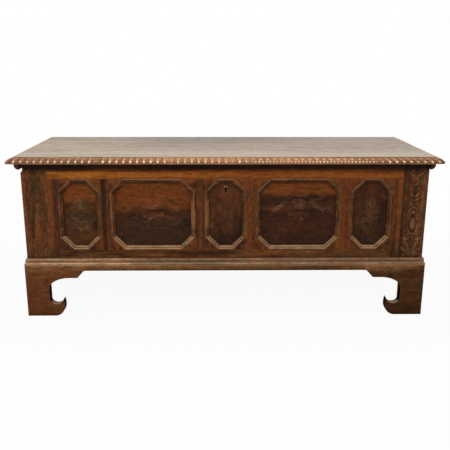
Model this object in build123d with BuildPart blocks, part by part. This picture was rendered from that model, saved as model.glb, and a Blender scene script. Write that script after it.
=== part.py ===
from build123d import *
import os
from math import sqrt

# A panelled walnut chest with a hinged lid, standing on hooked bracket feet.
# Millimetres, +Z up, the front faces -Y.  The origin is on the floor, under the middle of
# the lid.  "Left" is -X.

# ---------------------------------------------------------------- driving sizes: the whole
overall_height = 650.0
lid_length = 1650.0
lid_depth = 618.0
lid_thickness = 24.0
lid_end_overhang = 36.5      # lid edge past the end boards
lid_front_overhang = 50.0    # lid edge past the framed front
lid_back_overhang = 18.0     # lid edge past the back board
base_height = 213.0          # floor to the underside of the chest box
base_projection = 9.0        # base boards stand out past the chest box
hairline = 0.3               # open joint between loose neighbours

# ---------------------------------------------------------------- lid
edge_width = 24.0            # carved edge strip, seen from above
edge_toe = 2.0               # bevel under the strip
edge_toe_height = 2.5
edge_band_top = 9.0          # upright band along the foot of the strip
edge_slope_radius = 40.0     # flat round that slopes up from the band
edge_quirk = 1.0             # small step between the slope and the lid's top
edge_quirk_height = 1.0
edge_corner_radius = 8.0     # back corners, rounded by wear
plank_width_back = 300.0
batten_thickness = 19.0
batten_height = 29.0
batten_round = 18.0          # lower outer arris
batten_side_gap = 1.0        # batten past the end board it runs beside
batten_front_setback = 47.0  # batten ends short of the lid's front edge
batten_back_setback = 24.0

# ---------------------------------------------------------------- chest box
side_thickness = 28.0
back_thickness = 22.0
frame_thickness = 32.0
top_rail_height = 66.0
bottom_rail_height = 62.0
stile_width = 33.0
muntin_width = 27.0
filler_width = 7.0           # strip between a panel moulding and its stile or muntin
panel_count = 5              # narrow and wide in turn, with a keyhole in the middle one
narrow_octagon = 160.0       # outer width of panels 1, 3 and 5
octagon_corner = 50.0        # how much of each corner is cut off
groove_depth = 8.0
panel_thickness = 12.0
panel_recess = 15.0          # panel face behind the frame face
panel_play = 1.0             # room for a panel to swell
tenon_length = 25.0
pilaster_width = 99.5
pilaster_recess = 6.0        # carved face behind the frame face
floor_thickness = 18.0
floor_board_count = 3
ledger_width = 20.0
ledger_height = 22.0
ledger_lift = 3.0            # ledgers start above the base boards

# ---------------------------------------------------------------- dovetails at the back
tail_count = 6
tail_share = 0.55            # tail's root width over the dovetail pitch
tail_flare = 3.0             # a tail widens by this on each side

# ---------------------------------------------------------------- panel moulding
mould_width = 15.0
mould_proud = 2.0            # ridge in front of the frame face
mould_arris = 1.0            # bevel on the ridge's outer edge
mould_ridge = 4.0
mould_step = 9.0             # where the upper ovolo ends and the lower one starts
mould_step_height = 11.5
mould_fillet = 1.2
mould_lip_height = 4.0
mould_upper_radius = 7.0
mould_lower_radius = 8.0

# ---------------------------------------------------------------- plinth moulding
plinth_height = 28.0
plinth_fascia = 8.0          # flat band at the bottom
plinth_bead = 2.0
plinth_shelf = 4.5           # depth of the upper member
plinth_cove_top = 18.5
plinth_cove_radius = 10.0
plinth_fillet_top = 23.5

# ---------------------------------------------------------------- base and bracket feet
base_thickness = 30.0
rail_drop = 22.0             # height of the base rails between the feet
foot_length = 238.0          # along the floor edge, corner to base rail
foot_leg_width = 92.0
foot_toe_length = 150.0      # corner to the hook's furthest point
foot_toe_round = 40.0        # the toe's lower curve, along the floor
foot_toe_height = 44.0
hook_tip_back = 4.0          # tip behind the hook's furthest point
hook_tip_height = 72.0
hook_valley_height = 49.0
hook_rim_height = 68.0       # where the hook's hollow meets the leg
arch_spring_height = 116.0
arch_length = 83.0
arch_height = 45.0
splay_start = 206.0          # flat of the bracket ends and its splay starts
splay_round = 9.0
block_size = 50.0

# ---------------------------------------------------------------- hinges
hinge_inset = 225.0          # hinge to the end of the chest box
knuckle_radius = 6.0
pin_radius = 2.5
pin_clearance = 0.05
pin_head = 2.0               # thickness
pin_head_radius = 4.0
strap_thickness = 4.0
strap_width = 26.0
strap_tip_width = 18.0
strap_length = 237.0
strap_clearance = 0.2
leaf_ear = 12.0              # each of the leaf's two knuckles
leaf_thickness = 3.0
leaf_drop = 78.0
knuckle_room = 1.0

# ---------------------------------------------------------------- lock
keyhole_drop = 105.0         # keyhole's eye under the chest's rim
keyhole_radius = 4.5
keyhole_slot_width = 5.5
keyhole_slot_length = 17.0
lock_width = 90.0
lock_left = 55.0             # case reaches this far left of the keyhole
lock_depth = 24.0
lock_height = 120.0
lock_rim_gap = 12.0          # case top under the chest's rim
lock_wall = 2.5
tongue_thickness = 5.0
tongue_width = 14.0
tongue_length = 39.0
tongue_room = 2.6            # slot around the tongue
eye_width = 8.0
eye_height = 10.0
eye_floor = 6.0              # metal left under the eye
staple_plate_length = 40.0
staple_plate_thickness = 3.0
bolt_width = 6.0
bolt_height = 7.0
bolt_length = 42.0
bolt_nose_gap = 5.5          # withdrawn bolt short of the tongue
bolt_nose_bevel = 1.0
guide_thickness = 6.0
guide_spacing = 16.0
guide_height = 20.0
guide_from_nose = 8.0        # first guide behind the withdrawn bolt's nose
bolt_clearance = 0.3

# ---------------------------------------------------------------- worked-out places
lid_half = lid_length / 2
lid_front = -lid_depth / 2
lid_back = lid_depth / 2
rim = overall_height - lid_thickness
body_half = lid_half - lid_end_overhang
front_face = lid_front + lid_front_overhang
back_face = lid_back - lid_back_overhang
frame_back = front_face + frame_thickness
inner_back = back_face - back_thickness
inner_half = body_half - side_thickness
base_half = body_half + base_projection
base_front = front_face - base_projection

frame_half = body_half - pilaster_width
opening_low = base_height + bottom_rail_height
opening_high = rim - top_rail_height
octagon_height = opening_high - opening_low
opening_middle = (opening_low + opening_high) / 2
panel_face = front_face + panel_recess
panel_back = panel_face + panel_thickness
wide_octagon = (frame_half - stile_width - 2 * muntin_width - 1.5 * narrow_octagon
                - 5 * filler_width)
bay_pitch = filler_width * 2 + muntin_width + (narrow_octagon + wide_octagon) / 2
bay_centres = [(index - panel_count // 2) * bay_pitch for index in range(panel_count)]
bay_widths = [narrow_octagon, wide_octagon, narrow_octagon, wide_octagon, narrow_octagon]
mould_height = panel_recess + mould_proud
mitre_shrink = 2 - sqrt(2)   # corner cut lost per unit of inward offset, at 45 degrees

hinge_spread = body_half - hinge_inset
hinge_y = back_face + knuckle_radius
hinge_z = rim + strap_thickness - knuckle_radius
leaf_half = strap_width / 2 + hairline + leaf_ear
knuckle_pocket = leaf_half + pin_head + knuckle_room

keyhole_z = rim - keyhole_drop
lock_top = rim - lock_rim_gap
lock_back = frame_back + lock_depth
lock_middle_y = frame_back + lock_depth / 2
tongue_low = rim - staple_plate_thickness - tongue_length
eye_low = tongue_low + eye_floor
bolt_low = eye_low + (eye_height - bolt_height) / 2
bolt_nose = -tongue_thickness / 2 - bolt_nose_gap
bolt_middle = bolt_low + bolt_height / 2


# ---------------------------------------------------------------- helpers
def slab(x_span, y_span, z_span, mode=Mode.ADD):
    """A squared board between three pairs of planes, in the part being built."""
    sizes = [high - low for low, high in (x_span, y_span, z_span)]
    with Locations((x_span[0], y_span[0], z_span[0])):
        Box(*sizes, align=(Align.MIN, Align.MIN, Align.MIN), mode=mode)


def finish(builder, label):
    """Names a finished piece and writes it."""
    builder.part.label = label
    export_step(builder.part, f"parts/{label}.step")


def both_sides(left_builder, label):
    """Writes a left-hand piece and its mirror image on the right."""
    finish(left_builder, f"{label}_left")
    with BuildPart() as right_builder:
        mirror(left_builder.part, about=Plane.YZ)
    finish(right_builder, f"{label}_right")


def octagon_points(width, height, leg):
    """Corners of a rectangle with cut corners, anticlockwise from the lower left."""
    half_width = width / 2
    half_height = height / 2
    return [
        (leg - half_width, -half_height), (half_width - leg, -half_height),
        (half_width, leg - half_height), (half_width, half_height - leg),
        (half_width - leg, half_height), (leg - half_width, half_height),
        (-half_width, half_height - leg), (-half_width, leg - half_height),
    ]


def front_plane(x, y, z):
    """A plane facing the front: its x is the model's X and its y is the model's Z."""
    return Plane(origin=(x, y, z), x_dir=(1, 0, 0), z_dir=(0, -1, 0))


def mould_strip(bay, start, end, inner_start, inner_end):
    """One of the eight mitred strips round a panel: a stepped double ovolo."""
    edge = Vector(end[0] - start[0], 0, end[1] - start[1])
    along = edge.normalized()
    inward = Vector(-along.Z, 0, along.X)
    origin = Vector(bay + start[0], panel_face, opening_middle + start[1])
    shift = (along.X * hairline / 2, along.Z * hairline / 2)
    mitred = [
        (start[0] + shift[0], start[1] + shift[1]),
        (end[0] - shift[0], end[1] - shift[1]),
        (inner_end[0] - shift[0], inner_end[1] - shift[1]),
        (inner_start[0] + shift[0], inner_start[1] + shift[1]),
    ]
    with BuildPart() as strip:
        with BuildSketch(Plane(origin=origin, x_dir=inward, z_dir=along)):
            with BuildLine():
                Polyline((0, 0), (0, mould_height - mould_arris), (mould_arris, mould_height),
                         (mould_ridge, mould_height))
                RadiusArc((mould_ridge, mould_height), (mould_step - mould_fillet, mould_step_height),
                          mould_upper_radius)
                Polyline((mould_step - mould_fillet, mould_step_height),
                         (mould_step, mould_step_height),
                         (mould_step, mould_step_height - mould_fillet))
                RadiusArc((mould_step, mould_step_height - mould_fillet),
                          (mould_width, mould_lip_height), mould_lower_radius)
                Polyline((mould_width, mould_lip_height), (mould_width, 0), (0, 0))
            make_face()
        extrude(amount=edge.length)
        with BuildSketch(front_plane(bay, panel_face, opening_middle)):
            Polygon(*mitred, align=None)
        extrude(amount=mould_height, mode=Mode.INTERSECT)
    return strip.part


def bracket_outline():
    """Hooked bracket foot, from its corner at the origin along +x, standing on y = 0."""
    toe_flat = foot_toe_length - foot_toe_round
    tip = (foot_toe_length - hook_tip_back, hook_tip_height)
    rim_end = (foot_leg_width, hook_rim_height)
    valley = ((tip[0] + rim_end[0]) / 2, hook_valley_height)
    spring = (foot_leg_width, arch_spring_height)
    crown = (foot_leg_width + arch_length, arch_spring_height + arch_height)
    rail_low = base_height - rail_drop
    with BuildSketch() as outline:
        with BuildLine():
            Polyline((foot_length, rail_low), (foot_length, base_height), (0, base_height), (0, 0),
                     (toe_flat, 0))
            EllipticalCenterArc((toe_flat, foot_toe_height), foot_toe_round, foot_toe_height,
                                start_angle=-90, arc_size=90)
            TangentArc((foot_toe_length, foot_toe_height), tip, tangent=(0, 1))
            ThreePointArc(tip, valley, rim_end)
            Line(rim_end, spring)
            EllipticalCenterArc((crown[0], arch_spring_height), arch_length, arch_height,
                                start_angle=90, arc_size=90)
            Polyline(crown, (splay_start, crown[1]), (foot_length - splay_round / 2, rail_low),
                     (foot_length, rail_low))
        make_face()
        splay_corners = outline.vertices().filter_by_position(
            Axis.X, splay_start - 1, foot_length - 1)
        fillet(splay_corners.filter_by_position(Axis.Y, crown[1] - 1, rail_low + 1), splay_round)
    return outline.sketch


def strap_outline(x, grow):
    """Tapered strap with a round tip, seen from above; grow widens it all round."""
    tip_radius = strap_tip_width / 2
    tip_y = hinge_y - strap_length + tip_radius
    with BuildSketch() as outline:
        Polygon((x - strap_width / 2 - grow, hinge_y), (x + strap_width / 2 + grow, hinge_y),
                (x + tip_radius + grow, tip_y), (x - tip_radius - grow, tip_y), align=None)
        with Locations((x, tip_y)):
            Circle(tip_radius + grow)
    return outline.sketch


def keyhole_outline():
    """Keyhole: a round eye over a straight slot, about its eye."""
    with BuildSketch() as outline:
        Circle(keyhole_radius)
        Rectangle(keyhole_slot_width, keyhole_slot_length, align=(Align.CENTER, Align.MAX))
    return outline.sketch


os.makedirs("parts", exist_ok=True)

# ================================================================ base and feet
# Each corner is two hooked boards mitred together, with a square block glued behind them.
corner_mitre = [(-base_half, base_front), (-base_half + base_thickness, base_front + base_thickness)]
bracket = bracket_outline()

with BuildPart() as foot_front:
    with BuildSketch(front_plane(-base_half, base_front + base_thickness, 0)):
        add(bracket)
    extrude(amount=base_thickness)
    with BuildSketch():
        Polygon(*corner_mitre, (-base_half, base_front + base_thickness), align=None)
    extrude(amount=base_height, mode=Mode.SUBTRACT)
both_sides(foot_front, "foot_front")

with BuildPart() as foot_return:
    with BuildSketch(Plane(origin=(-base_half, base_front, 0), x_dir=(0, 1, 0), z_dir=(1, 0, 0))):
        add(bracket)
    extrude(amount=base_thickness)
    with BuildSketch():
        Polygon(*corner_mitre, (-base_half + base_thickness, base_front), align=None)
    extrude(amount=base_height, mode=Mode.SUBTRACT)
both_sides(foot_return, "foot_return")

with BuildPart() as foot_rear:
    rear_origin = (-base_half + base_thickness, back_face, 0)
    with BuildSketch(Plane(origin=rear_origin, x_dir=(0, -1, 0), z_dir=(-1, 0, 0))):
        add(bracket)
    extrude(amount=base_thickness)
both_sides(foot_rear, "foot_rear")

block_outer = base_half - base_thickness
block_spans = [(base_front + base_thickness, base_front + base_thickness + block_size),
               (back_face - block_size, back_face)]
with BuildPart() as foot_blocks:
    for block_span in block_spans:
        slab((-block_outer, block_size - block_outer), block_span, (0, base_height))
        slab((block_outer - block_size, block_outer), block_span, (0, base_height))
finish(foot_blocks, "foot_blocks")

rail_span = (base_height - rail_drop, base_height)
with BuildPart() as base_rail_front:
    slab((foot_length - base_half, base_half - foot_length),
         (base_front, base_front + base_thickness), rail_span)
finish(base_rail_front, "base_rail_front")

with BuildPart() as base_rail_back:
    slab((block_size - block_outer, block_outer - block_size),
         (back_face - base_thickness, back_face), rail_span)
finish(base_rail_back, "base_rail_back")

with BuildPart() as base_rail_side:
    slab((-base_half, base_thickness - base_half),
         (base_front + foot_length, back_face - foot_length), rail_span)
both_sides(base_rail_side, "base_rail")

# ================================================================ plinth moulding
# A flat fascia, a bead, a cove, a fillet and a small ovolo, mitred at the front corners.
def plinth_section():
    """Section of the plinth moulding: x is its projection and y its height."""
    with BuildSketch() as section:
        with BuildLine():
            Polyline((0, 0), (base_projection, 0), (base_projection, plinth_fascia))
            RadiusArc((base_projection, plinth_fascia),
                      (base_projection - plinth_bead, plinth_fascia + plinth_bead), -plinth_bead)
            RadiusArc((base_projection - plinth_bead, plinth_fascia + plinth_bead),
                      (plinth_shelf, plinth_cove_top), plinth_cove_radius)
            Line((plinth_shelf, plinth_cove_top), (plinth_shelf, plinth_fillet_top))
            RadiusArc((plinth_shelf, plinth_fillet_top), (0, plinth_height), -plinth_shelf)
            Line((0, plinth_height), (0, 0))
        make_face()
    return section.sketch


plinth_profile = plinth_section()

with BuildPart() as plinth_moulding_front:
    with BuildSketch(Plane(origin=(base_half, front_face, base_height),
                           x_dir=(0, -1, 0), z_dir=(-1, 0, 0))):
        add(plinth_profile)
    extrude(amount=2 * base_half)
    with BuildSketch(Plane.XY.offset(base_height)):
        Polygon((-base_half, base_front), (base_half, base_front), (body_half, front_face),
                (-body_half, front_face), align=None)
    extrude(amount=plinth_height, mode=Mode.INTERSECT)
finish(plinth_moulding_front, "plinth_moulding_front")

with BuildPart() as plinth_moulding_side:
    with BuildSketch(Plane(origin=(-body_half, base_front, base_height),
                           x_dir=(-1, 0, 0), z_dir=(0, 1, 0))):
        add(plinth_profile)
    extrude(amount=back_face - base_front)
    with BuildSketch(Plane.XY.offset(base_height)):
        Polygon((-base_half, base_front), (-body_half, front_face), (-body_half, back_face),
                (-base_half, back_face), align=None)
    extrude(amount=plinth_height, mode=Mode.INTERSECT)
both_sides(plinth_moulding_side, "plinth_moulding")

# ================================================================ framed front
# The top rail runs from pilaster to pilaster over the stiles; the bottom rail is tenoned
# between them.  A groove in line with the tenons holds the five panels.
groove_y = (panel_face, panel_back)
muntin_lefts = [bay_centres[bay] + bay_widths[bay] / 2 + filler_width for bay in range(panel_count - 1)]
stile_inner = frame_half - stile_width
groove_high = opening_high + groove_depth
groove_low = opening_low - groove_depth
mortise_high = opening_high + tenon_length
mortise_low = opening_low - tenon_length

with BuildPart() as front_top_rail:
    slab((-frame_half, frame_half), (front_face, frame_back), (opening_high, rim))
    slab((-stile_inner, stile_inner), groove_y, (opening_high, groove_high), Mode.SUBTRACT)
    for left in muntin_lefts:
        slab((left + groove_depth, left + muntin_width - groove_depth), groove_y,
             (opening_high, mortise_high), Mode.SUBTRACT)
    for left in (-frame_half + groove_depth, stile_inner):
        slab((left, left + stile_width - groove_depth), groove_y, (opening_high, mortise_high),
             Mode.SUBTRACT)
finish(front_top_rail, "front_top_rail")

rail_tenon_z = (base_height + groove_depth, groove_low)
rail_tenon_reach = stile_width - groove_depth
with BuildPart() as front_bottom_rail:
    slab((-stile_inner, stile_inner), (front_face, frame_back), (base_height, opening_low))
    slab((-stile_inner - rail_tenon_reach, stile_inner + rail_tenon_reach), groove_y, rail_tenon_z)
    slab((-stile_inner, stile_inner), groove_y, (groove_low, opening_low), Mode.SUBTRACT)
    for left in muntin_lefts:
        slab((left + groove_depth, left + muntin_width - groove_depth), groove_y,
             (mortise_low, opening_low), Mode.SUBTRACT)
finish(front_bottom_rail, "front_bottom_rail")

with BuildPart() as front_stile:
    slab((-frame_half, -stile_inner), (front_face, frame_back), (base_height, opening_high))
    slab((-frame_half + groove_depth, -stile_inner), groove_y, (opening_high, mortise_high))
    slab((-stile_inner - groove_depth, -stile_inner), groove_y, (groove_low, mortise_high),
         Mode.SUBTRACT)
    slab((-stile_inner - rail_tenon_reach, -stile_inner), groove_y, rail_tenon_z, Mode.SUBTRACT)
both_sides(front_stile, "front_stile")

for index, left in enumerate(muntin_lefts, start=1):
    with BuildPart() as muntin:
        slab((left, left + muntin_width), (front_face, frame_back), (opening_low, opening_high))
        slab((left, left + groove_depth), groove_y, (opening_low, opening_high), Mode.SUBTRACT)
        slab((left + muntin_width - groove_depth, left + muntin_width), groove_y,
             (opening_low, opening_high), Mode.SUBTRACT)
        slab((left + groove_depth, left + muntin_width - groove_depth), groove_y,
             (mortise_low, mortise_high))
    finish(muntin, f"muntin_{index}")

# ================================================================ panels and their mouldings
keyhole = keyhole_outline()
for index, (bay, width) in enumerate(zip(bay_centres, bay_widths), start=1):
    panel_half = width / 2 + filler_width + groove_depth - panel_play / 2
    with BuildPart() as front_panel:
        slab((bay - panel_half, bay + panel_half), groove_y, (groove_low, groove_high - panel_play))
        if index == (panel_count + 1) // 2:
            with BuildSketch(front_plane(0, panel_back, keyhole_z)):
                add(keyhole)
            extrude(amount=panel_thickness, mode=Mode.SUBTRACT)
    finish(front_panel, f"front_panel_{index}")

    outer = octagon_points(width, octagon_height, octagon_corner)
    inner = octagon_points(width - 2 * mould_width, octagon_height - 2 * mould_width,
                           octagon_corner - mitre_shrink * mould_width)
    with BuildPart() as panel_moulding:
        for side in range(8):
            following = (side + 1) % 8
            add(mould_strip(bay, outer[side], outer[following], inner[side], inner[following]))
    finish(panel_moulding, f"panel_moulding_{index}")

    # Four corner spandrels and two upright fillers bring the octagon out to the frame.
    half_height = octagon_height / 2
    reach = width / 2 + filler_width
    with BuildPart() as spandrels:
        with BuildSketch(front_plane(bay, panel_face, opening_middle)):
            for side_sign in (-1, 1):
                for level_sign in (-1, 1):
                    Polygon((side_sign * reach, level_sign * half_height),
                            (side_sign * (width / 2 - octagon_corner), level_sign * half_height),
                            (side_sign * width / 2, level_sign * (half_height - octagon_corner)),
                            (side_sign * reach, level_sign * (half_height - octagon_corner)),
                            align=None)
                with Locations((side_sign * (reach - filler_width / 2), 0)):
                    Rectangle(filler_width, 2 * (half_height - octagon_corner - hairline))
        extrude(amount=panel_recess)
    finish(spandrels, f"spandrels_{index}")

# ================================================================ corner pilasters
with BuildPart() as pilaster:
    slab((-body_half, -frame_half), (front_face, frame_back), (base_height, rim))
    slab((-body_half, -frame_half), (front_face, front_face + pilaster_recess),
         (base_height + plinth_height, rim), Mode.SUBTRACT)
both_sides(pilaster, "pilaster")

# ================================================================ end boards and back
# Through dovetails: the tails are on the end boards, their sockets in the back board.
tail_pitch = (rim - base_height) / tail_count
tail_root = tail_pitch * tail_share / 2


def tails_outline():
    """All the tails of one corner: x is the model's Y from the root, y is its Z."""
    with BuildSketch() as outline:
        for number in range(tail_count):
            with Locations((0, base_height + tail_pitch * (number + 0.5))):
                Polygon((0, -tail_root), (back_thickness, -tail_root - tail_flare),
                        (back_thickness, tail_root + tail_flare), (0, tail_root), align=None)
    return outline.sketch


tails = tails_outline()

with BuildPart() as side_board:
    slab((-body_half, -inner_half), (frame_back, inner_back), (base_height, rim))
    with BuildSketch(Plane(origin=(-body_half, inner_back, 0), x_dir=(0, 1, 0), z_dir=(1, 0, 0))):
        add(tails)
    extrude(amount=side_thickness)
both_sides(side_board, "side_board")

with BuildPart() as back_board:
    slab((-body_half, body_half), (inner_back, back_face), (base_height, rim))
    for start in (-body_half, inner_half):
        with BuildSketch(Plane(origin=(start, inner_back, 0), x_dir=(0, 1, 0), z_dir=(1, 0, 0))):
            add(tails)
        extrude(amount=side_thickness, mode=Mode.SUBTRACT)
finish(back_board, "back_board")

# ================================================================ floor
ledger_low = base_height + ledger_lift
ledger_high = ledger_low + ledger_height
with BuildPart() as floor_ledgers:
    for ledger_front in (frame_back, inner_back - ledger_width):
        slab((-inner_half, inner_half), (ledger_front, ledger_front + ledger_width),
             (ledger_low, ledger_high))
    for ledger_left in (-inner_half, inner_half - ledger_width):
        slab((ledger_left, ledger_left + ledger_width),
             (frame_back + ledger_width + hairline, inner_back - ledger_width - hairline),
             (ledger_low, ledger_high))
finish(floor_ledgers, "floor_ledgers")

floor_pitch = (inner_back - frame_back) / floor_board_count
with BuildPart() as floor_boards:
    for number in range(floor_board_count):
        board_front = frame_back + number * floor_pitch
        slab((-inner_half, inner_half), (board_front, board_front + floor_pitch - hairline),
             (ledger_high, ledger_high + floor_thickness))
finish(floor_boards, "floor_boards")

# ================================================================ lid
# Two planks, with a moulded edge strip mitred round the front and both ends.
def lid_edge_section():
    """Section of the lid's edge strip: x runs out to the edge and y up from the underside."""
    slope_top = lid_thickness - edge_quirk_height
    with BuildSketch() as section:
        with BuildLine():
            Polyline((0, 0), (edge_width - edge_toe, 0), (edge_width, edge_toe_height),
                     (edge_width, edge_band_top))
            RadiusArc((edge_width, edge_band_top), (edge_quirk, slope_top), -edge_slope_radius)
            Polyline((edge_quirk, slope_top), (edge_quirk, lid_thickness), (0, lid_thickness), (0, 0))
        make_face()
    return section.sketch


edge_profile = lid_edge_section()
plank_half = lid_half - edge_width
plank_front = lid_front + edge_width
plank_joint = lid_back - plank_width_back

with BuildPart() as lid_edge_front:
    with BuildSketch(Plane(origin=(lid_half, plank_front, rim), x_dir=(0, -1, 0), z_dir=(-1, 0, 0))):
        add(edge_profile)
    extrude(amount=lid_length)
    with BuildSketch(Plane.XY.offset(rim)):
        Polygon((-lid_half, lid_front), (lid_half, lid_front), (plank_half, plank_front),
                (-plank_half, plank_front), align=None)
    extrude(amount=lid_thickness, mode=Mode.INTERSECT)
finish(lid_edge_front, "lid_edge_front")

with BuildPart() as lid_edge_side:
    with BuildSketch(Plane(origin=(-plank_half, lid_front, rim), x_dir=(-1, 0, 0), z_dir=(0, 1, 0))):
        add(edge_profile)
    extrude(amount=lid_depth)
    with BuildSketch(Plane.XY.offset(rim)) as side_plan:
        Polygon((-lid_half, lid_front), (-plank_half, plank_front), (-plank_half, lid_back),
                (-lid_half, lid_back), align=None)
        fillet(side_plan.vertices().group_by(Axis.Y)[-1].sort_by(Axis.X)[0], edge_corner_radius)
    extrude(amount=lid_thickness, mode=Mode.INTERSECT)
both_sides(lid_edge_side, "lid_edge")

with BuildPart() as lid_plank_front:
    slab((-plank_half, plank_half), (plank_front, plank_joint), (rim, overall_height))
finish(lid_plank_front, "lid_plank_front")

with BuildPart() as lid_plank_back:
    slab((-plank_half, plank_half), (plank_joint, lid_back), (rim, overall_height))
    for hinge_x in (-hinge_spread, hinge_spread):
        with BuildSketch(Plane.XY.offset(rim)):
            add(strap_outline(hinge_x, strap_clearance))
        extrude(amount=strap_thickness, mode=Mode.SUBTRACT)
        slab((hinge_x - knuckle_pocket, hinge_x + knuckle_pocket),
             (hinge_y - knuckle_radius - knuckle_room, lid_back),
             (rim, hinge_z + knuckle_radius + knuckle_room), Mode.SUBTRACT)
finish(lid_plank_back, "lid_plank_back")

batten_inner = body_half + batten_side_gap
with BuildPart() as lid_batten:
    slab((-batten_inner - batten_thickness, -batten_inner),
         (lid_front + batten_front_setback, lid_back - batten_back_setback),
         (rim - batten_height, rim))
    fillet(lid_batten.edges().filter_by(Axis.Y).group_by(Axis.Z)[0].sort_by(Axis.X)[0], batten_round)
both_sides(lid_batten, "lid_batten")

# ================================================================ hinges
# A strap let into the lid turns on a pin held by two ears of a leaf on the back board.
strap_half = strap_width / 2
with BuildPart() as hinge_strap:
    with BuildSketch(Plane.XY.offset(rim)):
        add(strap_outline(-hinge_spread, 0))
    extrude(amount=strap_thickness)
    with BuildSketch(Plane.YZ.offset(-hinge_spread - strap_half)):
        with Locations((hinge_y, hinge_z)):
            Circle(knuckle_radius)
    extrude(amount=strap_width)
    with BuildSketch(Plane.YZ.offset(-hinge_spread - strap_half)):
        with Locations((hinge_y, hinge_z)):
            Circle(pin_radius + pin_clearance)
    extrude(amount=strap_width, mode=Mode.SUBTRACT)
both_sides(hinge_strap, "hinge_strap")

with BuildPart() as hinge_leaf:
    slab((-hinge_spread - leaf_half, leaf_half - hinge_spread),
         (back_face, back_face + leaf_thickness), (hinge_z - leaf_drop, hinge_z))
    with BuildSketch(Plane.YZ.offset(-hinge_spread - leaf_half)):
        with Locations((hinge_y, hinge_z)):
            Circle(knuckle_radius)
    extrude(amount=2 * leaf_half)
    slab((-hinge_spread - strap_half - hairline, strap_half + hairline - hinge_spread),
         (back_face, hinge_y + knuckle_radius),
         (hinge_z - knuckle_radius - hairline, hinge_z + knuckle_radius), Mode.SUBTRACT)
    with BuildSketch(Plane.YZ.offset(-hinge_spread - leaf_half)):
        with Locations((hinge_y, hinge_z)):
            Circle(pin_radius + pin_clearance)
    extrude(amount=2 * leaf_half, mode=Mode.SUBTRACT)
both_sides(hinge_leaf, "hinge_leaf")

with BuildPart() as hinge_pins:
    for hinge_x in (-hinge_spread, hinge_spread):
        for end, reach, radius in ((-leaf_half, 2 * leaf_half, pin_radius),
                                   (-leaf_half - pin_head, pin_head, pin_head_radius),
                                   (leaf_half, pin_head, pin_head_radius)):
            with BuildSketch(Plane.YZ.offset(hinge_x + end)):
                with Locations((hinge_y, hinge_z)):
                    Circle(radius)
            extrude(amount=reach)
finish(hinge_pins, "hinge_pins")

# ================================================================ lock
# An iron case behind the front, a tongue with an eye under the lid, and a sliding bolt.
lock_x = (-lock_left, lock_width - lock_left)
lock_z = (lock_top - lock_height, lock_top)
guide_right = bolt_nose - guide_from_nose
guide_z = (bolt_middle - guide_height / 2, bolt_middle + guide_height / 2)
bolt_hole_reach = bolt_width / 2 + bolt_clearance
tongue_slot_x = tongue_thickness / 2 + tongue_room
tongue_slot_y = tongue_width / 2 + tongue_room
with BuildPart() as lock_case:
    slab(lock_x, (frame_back, lock_back), lock_z)
    slab((lock_x[0] + lock_wall, lock_x[1] - lock_wall),
         (frame_back + lock_wall, lock_back - lock_wall),
         (lock_z[0] + lock_wall, lock_z[1] - lock_wall), Mode.SUBTRACT)
    for right in (guide_right, guide_right - guide_spacing):
        slab((right - guide_thickness, right),
             (frame_back + lock_wall, lock_back - lock_wall), guide_z)
    slab((guide_right - guide_spacing - guide_thickness, guide_right),
         (lock_middle_y - bolt_hole_reach, lock_middle_y + bolt_hole_reach),
         (bolt_low - bolt_clearance, bolt_low + bolt_height + bolt_clearance), Mode.SUBTRACT)
    slab((-tongue_slot_x, tongue_slot_x),
         (lock_middle_y - tongue_slot_y, lock_middle_y + tongue_slot_y),
         (lock_z[1] - lock_wall, lock_z[1]), Mode.SUBTRACT)
    with BuildSketch(front_plane(0, frame_back + lock_wall, keyhole_z)):
        add(keyhole)
    extrude(amount=lock_wall, mode=Mode.SUBTRACT)
finish(lock_case, "lock_case")

with BuildPart() as lock_staple:
    slab((-staple_plate_length / 2, staple_plate_length / 2),
         (lock_middle_y - lock_depth / 2, lock_middle_y + lock_depth / 2),
         (rim - staple_plate_thickness, rim))
    slab((-tongue_thickness / 2, tongue_thickness / 2),
         (lock_middle_y - tongue_width / 2, lock_middle_y + tongue_width / 2),
         (tongue_low, rim - staple_plate_thickness))
    slab((-tongue_thickness / 2, tongue_thickness / 2),
         (lock_middle_y - eye_width / 2, lock_middle_y + eye_width / 2),
         (eye_low, eye_low + eye_height), Mode.SUBTRACT)
finish(lock_staple, "lock_staple")

with BuildPart() as lock_bolt:
    slab((bolt_nose - bolt_length, bolt_nose),
         (lock_middle_y - bolt_width / 2, lock_middle_y + bolt_width / 2),
         (bolt_low, bolt_low + bolt_height))
    chamfer(lock_bolt.edges().filter_by(Axis.Y).group_by(Axis.X)[-1], bolt_nose_bevel)
finish(lock_bolt, "lock_bolt")
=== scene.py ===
"""Dresses a panelled walnut chest: carved lid edge, octagonal mouldings, worn waxed finishes."""

import logging
from dataclasses import dataclass, field
from enum import Enum
from typing import Callable, Optional, Sequence

import bpy
import numpy as np
from mathutils import Matrix, Vector


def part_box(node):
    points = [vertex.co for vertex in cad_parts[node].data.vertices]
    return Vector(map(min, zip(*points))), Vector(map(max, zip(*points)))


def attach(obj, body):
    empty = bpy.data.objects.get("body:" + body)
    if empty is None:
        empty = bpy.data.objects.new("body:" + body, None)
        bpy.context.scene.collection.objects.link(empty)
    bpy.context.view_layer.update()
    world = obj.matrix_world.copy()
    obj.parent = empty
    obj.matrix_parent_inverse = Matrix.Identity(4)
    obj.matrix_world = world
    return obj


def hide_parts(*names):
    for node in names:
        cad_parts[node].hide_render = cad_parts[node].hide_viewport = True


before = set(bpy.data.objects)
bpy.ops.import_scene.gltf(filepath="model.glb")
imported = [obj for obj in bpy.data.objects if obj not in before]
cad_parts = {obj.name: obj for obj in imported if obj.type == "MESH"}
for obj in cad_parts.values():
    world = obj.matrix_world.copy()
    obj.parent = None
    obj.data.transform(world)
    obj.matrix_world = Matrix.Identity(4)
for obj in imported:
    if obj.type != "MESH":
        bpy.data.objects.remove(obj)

log = logging.getLogger("chest")

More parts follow.
